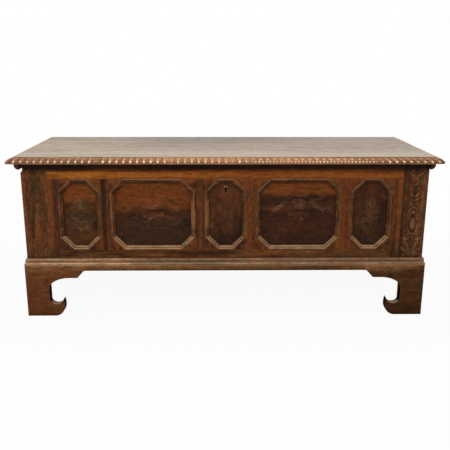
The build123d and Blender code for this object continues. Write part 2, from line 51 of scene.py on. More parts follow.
Triple = tuple[float, float, float]
Pair = tuple[float, float]
Colour = Triple
MM = 0.001
LATTICE = 64              # random values along each side of a noise field
SHARP = 0.6               # edges turned by more than this, in radians, are arrises
WELD_REACH = 2e-6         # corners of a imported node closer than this, in metres, are one
OCTAGON_TURN = 22.5       # half the turn at an octagon's corner, in degrees
OCTAGON_CUT = 50.0 * MM   # how much of each octagon corner is cut off
DIAGONAL = 0.7071         # distance to a 45 degree edge over the sum of both coordinates
ANYWHERE = 40.0           # patterns are moved by up to this many cells, so no two boards match


class Axis(Enum):
    """A model axis, as its index in a point."""

    X = 0
    Y = 1
    Z = 2


class Grain(Enum):
    """Which way the fibres of a board run, as the index of a model axis."""

    LENGTH = 0
    DEPTH = 1
    HEIGHT = 2


class Side(Enum):
    """Left or right half of the chest, as the sign of X."""

    LEFT = -1
    RIGHT = 1

    @property
    def label(self) -> str:
        """The side as node names spell it."""
        return self.name.lower()


# ------------------------------------------------------------------ small helpers
def linear(colour: Colour) -> tuple[float, float, float, float]:
    """Turns an sRGB colour into the linear one that a shader takes.

    Args:
        colour: red, green and blue from 0 to 255.

    Returns:
        Linear red, green and blue from 0 to 1, and an alpha of 1.
    """
    value = np.asarray(colour, float) / 255.0
    low = value / 12.92
    high = ((value + 0.055) / 1.055) ** 2.4
    return (*np.where(value <= 0.04045, low, high).tolist(), 1.0)


def smooth_step(value: np.ndarray, start: float, end: float) -> np.ndarray:
    """Cubic ramp, 3t squared minus 2t cubed, from 0 at start to 1 at end."""
    t = np.clip((value - start) / (end - start), 0.0, 1.0)
    return t * t * (3.0 - 2.0 * t)


def bell(offset: np.ndarray, width: float) -> np.ndarray:
    """Bell curve: e to the power of minus the squared offset over the width, 1 at offset 0."""
    return np.exp(-((offset / width) ** 2))


def value_noise(x: np.ndarray, y: np.ndarray, cell: float, seed: int) -> np.ndarray:
    """Smooth random field: lattice values mixed by a cubic ramp in both directions.

    Args:
        x: first coordinate of each point.
        y: second coordinate of each point.
        cell: distance between lattice points, in the same unit.
        seed: picks the lattice values.

    Returns:
        One value from -1 to 1 for each point.
    """
    lattice = np.random.default_rng(seed).uniform(-1.0, 1.0, (LATTICE, LATTICE))
    u, v = x / cell, y / cell
    i, j = np.floor(u).astype(int), np.floor(v).astype(int)
    a, b = smooth_step(u - i, 0.0, 1.0), smooth_step(v - j, 0.0, 1.0)
    corner = [lattice[(i + p) % LATTICE, (j + q) % LATTICE] for p in (0, 1) for q in (0, 1)]
    first = corner[0] * (1 - b) + corner[1] * b
    second = corner[2] * (1 - b) + corner[3] * b
    return first * (1 - a) + second * a


def node_box(name: str) -> tuple[np.ndarray, np.ndarray]:
    """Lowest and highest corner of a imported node, as arrays in metres."""
    low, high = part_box(name)
    return np.array(low), np.array(high)


# ------------------------------------------------------------------ meshes
def turn_outward(mesh: bpy.types.Mesh) -> None:
    """Flips the faces of a closed mesh that is inside out.

    Six times the enclosed volume is the sum over all triangles of the triple
    product of their corners; it is negative where the faces look inward.

    Args:
        mesh: the mesh to look at, and to flip if needed.
    """
    mesh.calc_loop_triangles()
    corners = np.empty(len(mesh.loop_triangles) * 3, np.int32)
    mesh.loop_triangles.foreach_get("vertices", corners)
    places = np.empty(len(mesh.vertices) * 3, np.float32)
    mesh.vertices.foreach_get("co", places)
    a, b, c = np.moveaxis(places.reshape(-1, 3)[corners.reshape(-1, 3)].astype(float), 1, 0)
    if np.einsum("ij,ij->", a, np.cross(b, c)) < 0.0:
        mesh.flip_normals()


def build_mesh(name: str, points: np.ndarray, polygons: Sequence[np.ndarray],
               attributes: Optional[dict[str, np.ndarray]] = None,
               smooth_angle: float = SHARP) -> bpy.types.Object:
    """Puts arrays into a new mesh object at the origin.

    Args:
        name: the object's name.
        points: vertex positions, shape (n, 3), in metres.
        polygons: arrays of vertex indices, each (faces, corners) or one flat ring.
        attributes: float values for each vertex, by attribute name.
        smooth_angle: edges sharper than this, in radians, stay crisp.

    Returns:
        The new object, linked to the scene.
    """
    groups = [ring.reshape(-1, ring.shape[-1]) for ring in polygons]
    corners = np.concatenate([group.ravel() for group in groups])
    sizes = np.concatenate([np.full(len(group), group.shape[1]) for group in groups])
    mesh = bpy.data.meshes.new(name)
    mesh.vertices.add(len(points))
    mesh.vertices.foreach_set("co", points.astype(np.float32).ravel())
    mesh.loops.add(len(corners))
    mesh.loops.foreach_set("vertex_index", corners.astype(np.int32))
    mesh.polygons.add(len(sizes))
    starts = np.concatenate([[0], np.cumsum(sizes)[:-1]])
    mesh.polygons.foreach_set("loop_start", starts.astype(np.int32))
    mesh.update(calc_edges=True)
    mesh.validate()
    turn_outward(mesh)
    for key, values in (attributes or {}).items():
        layer = mesh.attributes.new(key, "FLOAT", "POINT")
        layer.data.foreach_set("value", values.astype(np.float32).ravel())
    mesh.shade_smooth()
    mesh.set_sharp_from_angle(angle=smooth_angle)
    piece = bpy.data.objects.new(name, mesh)
    bpy.context.collection.objects.link(piece)
    return piece


def tube_polygons(stations: int, loop: int, first: int = 0) -> list[np.ndarray]:
    """Faces of a closed section carried through stations, with both ends capped.

    Vertex k of station s has index first + s * loop + k. Each side face joins
    neighbours on two stations, and the last vertex of a loop joins the first.

    Args:
        stations: how many times the section is placed.
        loop: vertices in the section.
        first: index of the first vertex.

    Returns:
        Index arrays for the sides and the two caps.
    """
    s = np.arange(stations - 1)[:, None] * loop + first
    k = np.arange(loop)[None, :]
    after = (k + 1) % loop
    sides = np.stack([s + k, s + after, s + loop + after, s + loop + k], axis=-1)
    ends = np.arange(loop) + first
    return [sides.reshape(-1, 4), ends[None, ::-1].copy(), (ends + (stations - 1) * loop)[None, :]]


def relief_board(name: str, front: np.ndarray, back_y: float,
                 attributes: dict[str, np.ndarray]) -> bpy.types.Object:
    """A closed board whose front is a grid and whose back is flat.

    The grid's border is copied straight back to the plane y = back_y, quads join
    border and copy, and one flat polygon closes the back.

    Args:
        name: the object's name.
        front: grid of front points, shape (rows, columns, 3), rows upward and
            columns to the right as seen from the front.
        back_y: where the back lies, in metres.
        attributes: values on the grid, shape (rows, columns), by name.

    Returns:
        The new object.
    """
    rows, columns = front.shape[:2]
    index = np.arange(rows * columns).reshape(rows, columns)
    quads = np.stack([index[:-1, :-1], index[:-1, 1:], index[1:, 1:], index[1:, :-1]], axis=-1)
    rim = np.concatenate([index[0, :-1], index[:-1, -1], index[-1, :0:-1], index[:0:-1, 0]])
    behind = front.reshape(-1, 3)[rim].copy()
    behind[:, 1] = back_y
    copy = np.arange(len(rim)) + rows * columns
    walls = np.stack([rim, copy, np.roll(copy, -1), np.roll(rim, -1)], axis=-1)
    points = np.concatenate([front.reshape(-1, 3), behind])
    spread = {key: np.concatenate([grid.ravel(), grid.ravel()[rim]])
              for key, grid in attributes.items()}
    return build_mesh(name, points, [quads.reshape(-1, 4), walls, copy[None, ::-1].copy()], spread)


def quarter(centre: Pair, radii: Pair, start: float,
            steps: int = 7) -> np.ndarray:
    """Quarter of an ellipse, turning clockwise: centre plus radii times cosine and sine.

    Args:
        centre: the ellipse's middle.
        radii: half its width and half its height.
        start: first angle in degrees.
        steps: points along the quarter.

    Returns:
        Points of the arc, shape (steps, 2).
    """
    angle = np.radians(start - np.linspace(0.0, 90.0, steps))
    across, up = centre[0] + radii[0] * np.cos(angle), centre[1] + radii[1] * np.sin(angle)
    return np.stack([across, up], -1)


# ------------------------------------------------------------------ shader graph
class Graph:
    """A material's node tree with short calls to add and wire nodes."""

    def __init__(self, name: str) -> None:
        """Starts an empty material that ends in one Principled shader."""
        self.material = bpy.data.materials.new(name)
        self.material.use_nodes = True
        self.tree = self.material.node_tree
        self.tree.nodes.clear()
        self.output = self.node("ShaderNodeOutputMaterial")
        self.shader = self.node("ShaderNodeBsdfPrincipled")
        self.tree.links.new(self.shader.outputs[0], self.output.inputs["Surface"])

    def node(self, kind: str, **settings: object) -> bpy.types.Node:
        """Adds a node of that kind and sets its properties."""
        made = self.tree.nodes.new(kind)
        for key, value in settings.items():
            setattr(made, key, value)
        return made

    def feed(self, socket: bpy.types.NodeSocket, value: object) -> None:
        """Links a socket to another one, or sets it to a plain value."""
        if isinstance(value, bpy.types.NodeSocket):
            self.tree.links.new(value, socket)
        elif value is not None:
            socket.default_value = value

    def math(self, operation: str, a: object, b: object = None, c: object = None,
             clamp: bool = False) -> bpy.types.NodeSocket:
        """Adds a Math node on up to three inputs and returns its output."""
        made = self.node("ShaderNodeMath", operation=operation, use_clamp=clamp)
        for socket, value in zip(made.inputs, (a, b, c)):
            self.feed(socket, value)
        return made.outputs[0]

    def mix(self, factor: object, a: object, b: object, blend: str = "MIX") -> bpy.types.NodeSocket:
        """Adds a colour Mix node and returns its result."""
        made = self.node("ShaderNodeMix", data_type="RGBA", blend_type=blend)
        self.feed(made.inputs[0], factor)
        self.feed(made.inputs[6], a)
        self.feed(made.inputs[7], b)
        return made.outputs[2]

    def ramp(self, value: object, stops: Sequence[tuple[float, object]]) -> bpy.types.NodeSocket:
        """Adds a colour ramp through stops of position and sRGB colour or grey level."""
        made = self.node("ShaderNodeValToRGB")
        elements = made.color_ramp.elements
        while len(elements) < len(stops):
            elements.new(0.5)
        for element, (position, shade) in zip(elements, stops):
            element.position = position
            grey = isinstance(shade, (int, float))
            element.color = (shade, shade, shade, 1.0) if grey else linear(shade)
        self.feed(made.inputs[0], value)
        return made.outputs[0]

    def span(self, value: object, low: float, high: float, to_low: float = 0.0,
             to_high: float = 1.0) -> bpy.types.NodeSocket:
        """Maps low..high onto to_low..to_high along a smooth step, clamped."""
        made = self.node("ShaderNodeMapRange", interpolation_type="SMOOTHSTEP")
        for socket, setting in zip(made.inputs, (value, low, high, to_low, to_high)):
            self.feed(socket, setting)
        return made.outputs[0]

    def place(self) -> bpy.types.NodeSocket:
        """Object coordinates, in metres."""
        return self.node("ShaderNodeTexCoord").outputs["Object"]

    def axes(self) -> tuple[bpy.types.NodeSocket, ...]:
        """Object coordinates as three separate numbers."""
        split = self.node("ShaderNodeSeparateXYZ")
        self.feed(split.inputs[0], self.place())
        return tuple(split.outputs)

    def noise(self, scale: Sequence[float], shift: Sequence[float], detail: float = 3.0,
              roughness: float = 0.55, distortion: float = 0.0) -> bpy.types.NodeSocket:
        """Noise on Object coordinates, moved and stretched along the axes.

        Args:
            scale: cells per metre along X, Y and Z.
            shift: offset in cells, so that pieces differ.
            detail: octaves.
            roughness: strength of the finer octaves.
            distortion: how much the pattern is warped.

        Returns:
            The noise value.
        """
        mapping = self.node("ShaderNodeMapping")
        self.feed(mapping.inputs["Vector"], self.place())
        self.feed(mapping.inputs["Location"], tuple(shift))
        self.feed(mapping.inputs["Scale"], tuple(scale))
        made = self.node("ShaderNodeTexNoise")
        self.feed(made.inputs["Vector"], mapping.outputs[0])
        for key, setting in (("Scale", 1.0), ("Detail", detail), ("Roughness", roughness),
                             ("Distortion", distortion)):
            self.feed(made.inputs[key], setting)
        return made.outputs[0]

    def attribute(self, name: str) -> bpy.types.NodeSocket:
        """A float value stored on the vertices."""
        return self.node("ShaderNodeAttribute", attribute_name=name).outputs["Fac"]


# ------------------------------------------------------------------ layers over a wood finish
@dataclass(frozen=True)
class Shade:
    """Darkens or tints a band along one axis, with a wavering border.

    The weight rises from 0 at start to 1 at end, both in metres.
    """

    axis: Axis
    start: float
    end: float
    tint: Colour
    strength: float = 1.0
    waver: float = 0.008

    def lay(self, graph: Graph, colour: bpy.types.NodeSocket) -> bpy.types.NodeSocket:
        """Returns the colour with the tint mixed in."""
        along = graph.axes()[self.axis.value]
        wobble = graph.math("MULTIPLY_ADD", graph.noise((14, 14, 14), (3, 1, 2)), 2 * self.waver,
                            -self.waver)
        ends = ((self.start, self.end, 0.0, self.strength) if self.start <= self.end
                else (self.end, self.start, self.strength, 0.0))
        weight = graph.span(graph.math("ADD", along, wobble), *ends)
        return graph.mix(weight, colour, linear(self.tint))


@dataclass(frozen=True)
class EdgeRub:
    """Lightens the arrises of a squared board, where hands and cloths wear them.

    The distance to the nearest edge of a box is the second smallest of the
    distances to its three pairs of faces.
    """

    low: Triple
    high: Triple
    tint: Colour
    strength: float = 0.5
    width: float = 0.0022

    def lay(self, graph: Graph, colour: bpy.types.NodeSocket) -> bpy.types.NodeSocket:
        """Returns the colour with rubbed edges."""
        near = []
        for along, low, high in zip(graph.axes(), self.low, self.high):
            near.append(graph.math("MINIMUM", graph.math("SUBTRACT", along, low),
                                   graph.math("SUBTRACT", high, along)))
        lesser = graph.math("MINIMUM", near[0], near[1])
        greater = graph.math("MAXIMUM", near[0], near[1])
        second = graph.math("MAXIMUM", lesser, graph.math("MINIMUM", greater, near[2]))
        ragged = graph.math("MULTIPLY_ADD", graph.noise((60, 60, 60), (7, 3, 5)), -self.width * 2,
                            self.width)
        weight = graph.span(graph.math("ADD", second, ragged), 0.0, self.width, self.strength, 0.0)
        return graph.mix(weight, colour, linear(self.tint))


@dataclass(frozen=True)
class ReliefTint:
    """Colours carved work by a stored height: dirt in the hollows, rubbed high spots (on the lid's
    edge also a painted highlight).
    """

    name: str
    hollow: Colour
    crest: Colour
    hollow_strength: float = 0.75
    crest_strength: float = 0.6
    middle: Pair = (0.45, 0.62)

    def lay(self, graph: Graph, colour: bpy.types.NodeSocket) -> bpy.types.NodeSocket:
        """Returns the colour with hollows and crests tinted."""
        height = graph.attribute(self.name)
        dirt = graph.span(height, 0.0, self.middle[0], self.hollow_strength, 0.0)
        worn = graph.span(height, self.middle[1], 1.0, 0.0, self.crest_strength)
        return graph.mix(worn, graph.mix(dirt, colour, linear(self.hollow)), linear(self.crest))


@dataclass(frozen=True)
class Blotches:
    """Irregular stains: a noise cut off at a level, tinted where it is above."""

    tint: Colour
    scale: Triple
    level: float
    soft: float = 0.12
    strength: float = 0.5
    shift: Triple = (0.0, 0.0, 0.0)

    def lay(self, graph: Graph, colour: bpy.types.NodeSocket) -> bpy.types.NodeSocket:
        """Returns the colour with the stains laid over it."""
        field_value = graph.noise(self.scale, self.shift, 4.0, 0.6, 0.4)
        weight = graph.span(field_value, self.level, self.level + self.soft, 0.0, self.strength)
        return graph.mix(weight, colour, linear(self.tint))


@dataclass(frozen=True)
class AttributeTint:
    """Mixes a tint in by a stored value times a strength, broken up by a noise."""

    name: str
    tint: Colour
    strength: float
    broken: float = 0.0

    def lay(self, graph: Graph, colour: bpy.types.NodeSocket) -> bpy.types.NodeSocket:
        """Returns the colour with the tint mixed in."""
        weight = graph.math("MULTIPLY", graph.attribute(self.name), self.strength, clamp=True)
        if self.broken:
            patches = graph.span(graph.noise((26, 26, 26), (1, 5, 9), 4.0, 0.6), 0.35, 0.62,
                                 1.0 - self.broken)
            weight = graph.math("MULTIPLY", weight, patches)
        return graph.mix(weight, colour, linear(self.tint))


@dataclass(frozen=True)
class Patch:
    """A stain or worn place inside an ellipsoid, with a ragged border. Metres."""

    middle: Triple
    reach: Triple
    tint: Colour
    strength: float = 0.5
    ragged: float = 0.5
    cells: Triple = (45.0, 45.0, 45.0)

    def lay(self, graph: Graph, colour: bpy.types.NodeSocket) -> bpy.types.NodeSocket:
        """Returns the colour with the patch laid over it."""
        mapping = graph.node("ShaderNodeMapping")
        graph.feed(mapping.inputs["Vector"], graph.place())
        graph.feed(mapping.inputs["Location"],
                   tuple(-m / r for m, r in zip(self.middle, self.reach)))
        graph.feed(mapping.inputs["Scale"], tuple(1.0 / r for r in self.reach))
        length = graph.node("ShaderNodeVectorMath", operation="LENGTH")
        graph.feed(length.inputs[0], mapping.outputs[0])
        wobble = graph.noise(self.cells, (2, 8, 4), 4.0, 0.6)
        away = graph.math("MULTIPLY_ADD", wobble, 2 * self.ragged,
                          graph.math("SUBTRACT", length.outputs["Value"], self.ragged))
        return graph.mix(graph.span(away, 0.45, 1.15, self.strength, 0.0), colour,
                         linear(self.tint))


@dataclass(frozen=True)
class FacingTint:
    """Paints light and shade by facing: tints the faces that look one way along an axis, or both
    ways if sign is 0.
    """

    axis: Axis
    sign: int
    tint: Colour
    strength: float = 0.7

    def lay(self, graph: Graph, colour: bpy.types.NodeSocket) -> bpy.types.NodeSocket:
        """Returns the colour with those faces tinted."""
        split = graph.node("ShaderNodeSeparateXYZ")
        graph.feed(split.inputs[0], graph.node("ShaderNodeTexCoord").outputs["Normal"])
        along = split.outputs[self.axis.value]
        along = (graph.math("MULTIPLY", along, self.sign) if self.sign
                 else graph.math("ABSOLUTE", along))
        return graph.mix(graph.span(along, 0.55, 0.85, 0.0, self.strength), colour,
                         linear(self.tint))


Layer = Shade | EdgeRub | ReliefTint | Blotches | AttributeTint | Patch | FacingTint


@dataclass(frozen=True)
class WoodFinish:
    """Waxed or bare wood: figure, fibres, a small mottle, pores, grime and a soft gloss.

    Cells are counted per metre across the fibres.
    """

    name: str
    slot: str
    dark: Colour
    middle: Colour
    light: Colour
    figure: float = 16.0
    stretch: float = 9.0
    fibre_contrast: float = 0.35
    grime: float = 0.35
    grime_tint: Colour = (38, 20, 12)
    roughness: Pair = (0.38, 0.62)
    specular: float = 0.3
    bump: float = 0.25
    mottle: float = 0.3
    fibre_cells: float = 420.0
    pore_cells: float = 1100.0
    mottle_cells: float = 85.0
    hue_cells: float = 40.0

    def material(self, label: str, seed: int, grain: Grain,
                 layers: Sequence[Layer] = ()) -> bpy.types.Material:
        """Makes the finish for one piece.

        Args:
            label: the piece's name.
            seed: moves the pattern, so that no two boards match.
            grain: the way the fibres run.
            layers: tints laid over the bare wood, in order.

        Returns:
            The material.
        """
        graph = Graph(f"{self.name}_{label}")
        shift = np.random.default_rng(seed).uniform(0.0, ANYWHERE, 3)

        def stretched(cells: float, ratio: float) -> tuple[float, ...]:
            """Cells per metre, fewer along the fibres."""
            return tuple(cells / ratio if axis == grain.value else cells for axis in range(3))

        figure = graph.noise(stretched(self.figure, self.stretch), shift, 4.0, 0.55, 1.2)
        bands = graph.math("PINGPONG", graph.math("MULTIPLY", figure, 5.0), 1.0)
        broad = graph.math("ADD", graph.math("MULTIPLY", figure, 0.7),
                           graph.math("MULTIPLY", bands, 0.3))
        colour = graph.ramp(broad, [(0.28, self.dark), (0.5, self.middle), (0.72, self.light)])
        fibres = graph.noise(stretched(self.fibre_cells, 38.0), shift + 5, 3.0, 0.65)
        colour = graph.mix(self.fibre_contrast, colour,
                           graph.ramp(fibres, [(0.3, 0.12), (0.55, 0.62), (0.75, 0.95)]),
                           "SOFT_LIGHT")
        pores = graph.noise(stretched(self.pore_cells, 16.0), shift + 9, 1.0, 0.5)
        pit = graph.span(pores, 0.62, 0.70)
        colour = graph.mix(graph.math("MULTIPLY", pit, 0.55), colour, linear(self.grime_tint))
        dirt = graph.noise((7.0, 7.0, 7.0), shift + 13, 5.0, 0.62, 0.6)
        soiled = graph.span(dirt, 0.45, 0.75, 0.0, self.grime)
        colour = graph.mix(soiled, colour, linear(self.grime_tint))
        for layer in layers:
            colour = layer.lay(graph, colour)
        patches = graph.noise(stretched(self.mottle_cells, 2.0), shift + 21, 4.0, 0.58, 0.8)
        colour = graph.mix(self.mottle, colour,
                           graph.ramp(patches, [(0.32, 0.08), (0.5, 0.5), (0.68, 0.92)]),
                           "SOFT_LIGHT")
        hues = graph.noise(stretched(self.hue_cells, 2.5), shift + 27, 4.0, 0.6, 0.6)
        tinted = graph.ramp(hues, [(0.36, (166, 194, 172)), (0.5, (188, 188, 188)),
                                   (0.64, (212, 178, 164))])
        colour = graph.mix(self.mottle, colour, tinted, "SOFT_LIGHT")
        graph.feed(graph.shader.inputs["Base Color"], colour)
        polish = graph.noise((22.0, 22.0, 22.0), shift + 17, 3.0, 0.6)
        graph.feed(graph.shader.inputs["Roughness"],
                   graph.span(graph.math("MULTIPLY_ADD", pit, 0.2, polish), 0.3, 0.8,
                              *self.roughness))
        graph.feed(graph.shader.inputs["Specular IOR Level"], self.specular)
        height = graph.math("MULTIPLY_ADD", pit, -0.8, graph.math("MULTIPLY", fibres, 0.6))
        height = graph.math("MULTIPLY_ADD", dirt, 1.5, height)
        bump = graph.node("ShaderNodeBump")
        graph.feed(bump.inputs["Strength"], self.bump)
        graph.feed(bump.inputs["Distance"], 0.0006)
        graph.feed(bump.inputs["Height"], height)
        graph.feed(graph.shader.inputs["Normal"], bump.outputs[0])
        return graph.material


@dataclass(frozen=True)
class IronFinish:
    """Dark wrought iron with rust in patches and a hammered surface."""

    name: str = "wrought_iron"
    slot: str = "iron"
    dark: Colour = (46, 42, 40)
    light: Colour = (84, 78, 74)
    rust: Colour = (94, 52, 30)

    def material(self, label: str, seed: int) -> bpy.types.Material:
        """Makes the iron for one piece, its pattern moved by seed."""
        graph = Graph(f"{self.name}_{label}")
        shift = np.random.default_rng(seed).uniform(0.0, ANYWHERE, 3)
        cloud = graph.noise((60, 60, 60), shift, 4.0, 0.6)
        colour = graph.ramp(cloud, [(0.35, self.dark), (0.7, self.light)])
        rusty = graph.span(graph.noise((35, 35, 35), shift + 7, 5.0, 0.65, 0.5), 0.5, 0.68, 0.0,
                           0.8)
        colour = graph.mix(rusty, colour, linear(self.rust))
        graph.feed(graph.shader.inputs["Base Color"], colour)
        graph.feed(graph.shader.inputs["Metallic"], 0.7)
        graph.feed(graph.shader.inputs["Roughness"], graph.math("MULTIPLY_ADD", rusty, 0.35, 0.48))
        bump = graph.node("ShaderNodeBump")
        graph.feed(bump.inputs["Strength"], 0.5)
        graph.feed(bump.inputs["Distance"], 0.0005)
        graph.feed(bump.inputs["Height"], graph.noise((220, 220, 220), shift + 3, 3.0, 0.6))
        graph.feed(graph.shader.inputs["Normal"], bump.outputs[0])
        return graph.material


# ------------------------------------------------------------------ the chest's finishes
LID_TOP = WoodFinish(
    "lid_walnut", "walnut_lid", (95, 76, 55), (115, 96, 73), (132, 111, 86), figure=10.0,
    stretch=10.0, fibre_contrast=0.3, grime=0.12, grime_tint=(80, 64, 48), roughness=(0.36, 0.5),
    specular=0.5, bump=0.12, mottle=0.12)
CARVED_EDGE = WoodFinish(
    "edge_walnut", "walnut_lid_edge", (89, 54, 28), (113, 74, 40), (140, 96, 55), figure=26.0,
    grime=0.2, roughness=(0.4, 0.56), specular=0.22, bump=0.12, mottle=0.25)
RAIL = WoodFinish(
    "rail_walnut", "walnut_frame", (80, 39, 11), (112, 57, 16), (139, 77, 23), figure=20.0,
    grime=0.25, roughness=(0.42, 0.62), specular=0.07, mottle=0.4)
FRAME = WoodFinish(
    "frame_walnut", "walnut_frame", (47, 24, 10), (72, 38, 16), (94, 51, 20), grime=0.35,
    roughness=(0.42, 0.62), specular=0.07, mottle=0.5)
PANEL = WoodFinish(
    "panel_walnut", "walnut_panel", (40, 22, 11), (56, 32, 15), (74, 41, 17), figure=13.0,
    fibre_contrast=0.45, grime=0.3, grime_tint=(32, 17, 9), roughness=(0.4, 0.6), specular=0.06,
    mottle=0.48)
MOULDING = WoodFinish(
    "moulding_walnut", "walnut_moulding", (54, 30, 14), (74, 44, 22), (94, 58, 30), figure=22.0,
    grime=0.25, roughness=(0.4, 0.56), specular=0.1, mottle=0.4)
PLINTH = WoodFinish(
    "plinth_walnut", "walnut_moulding", (79, 50, 30), (100, 67, 42), (121, 85, 55), figure=16.0,
    grime=0.25, roughness=(0.36, 0.54), specular=0.2, mottle=0.45)
PILASTER = WoodFinish(
    "pilaster_walnut", "walnut_carved", (64, 35, 18), (83, 49, 26), (103, 63, 32), grime=0.3,
    grime_tint=(34, 18, 9), roughness=(0.44, 0.64), specular=0.07, mottle=0.6)
CASE = WoodFinish(
    "case_walnut", "walnut_case", (60, 35, 20), (84, 51, 30), (108, 70, 42), grime=0.35,
    roughness=(0.42, 0.62), specular=0.15, mottle=0.45)
BASE = WoodFinish(
    "base_walnut", "walnut_base", (76, 48, 28), (99, 64, 39), (120, 82, 51), grime=0.35,
    roughness=(0.5, 0.68), specular=0.0, mottle=0.42)
POPLAR = WoodFinish(
    "poplar", "poplar", (104, 78, 52), (136, 106, 74), (160, 130, 96), grime=0.4,
    grime_tint=(70, 50, 34), roughness=(0.7, 0.9), specular=0.1, bump=0.35, mottle=0.3)
IRON = IronFinish()

# The height of the box's rim, in metres, and the dark band along the front under the lid: a painted
# shadow of the lid's overhang, with some grime.
RIM = node_box("front_top_rail")[1][2]
UNDER_LID_SHADOW_AND_GRIME = Shade(Axis.Z, RIM - 40 * MM, RIM - 22 * MM, (22, 12, 7), 0.88, 0.0015)


def soften(piece: bpy.types.Object, width: float) -> None:
    """Welds a node's loose triangles and rounds its sharp edges.

    Args:
        piece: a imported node's object.
        width: the bevel's width in metres.
    """
    weld = piece.modifiers.new("weld", "WELD")
    weld.merge_threshold = WELD_REACH
    bevel = piece.modifiers.new("soft_edges", "BEVEL")
    bevel.width = width
    bevel.segments = 2
    bevel.limit_method = "ANGLE"
    bevel.angle_limit = SHARP
    bevel.harden_normals = True


def dress(name: str, material: bpy.types.Material, bevel: float) -> None:
    """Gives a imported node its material, and rounds its edges."""
    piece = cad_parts[name]
    piece.data.materials.clear()
    piece.data.materials.append(material)
    soften(piece, bevel)
    log.info("dressed %s", name)


def fit_new(piece: bpy.types.Object, node: str, body: str,
            material: bpy.types.Material) -> None:
    """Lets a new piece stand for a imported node.

    Args:
        piece: the new object.
        node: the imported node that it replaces.
        body: the body that it rides on.
        material: what it is painted with.
    """
    piece.data.materials.append(material)
    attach(piece, body)
    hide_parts(node)
    log.info("built %s in place of %s", piece.name, node)


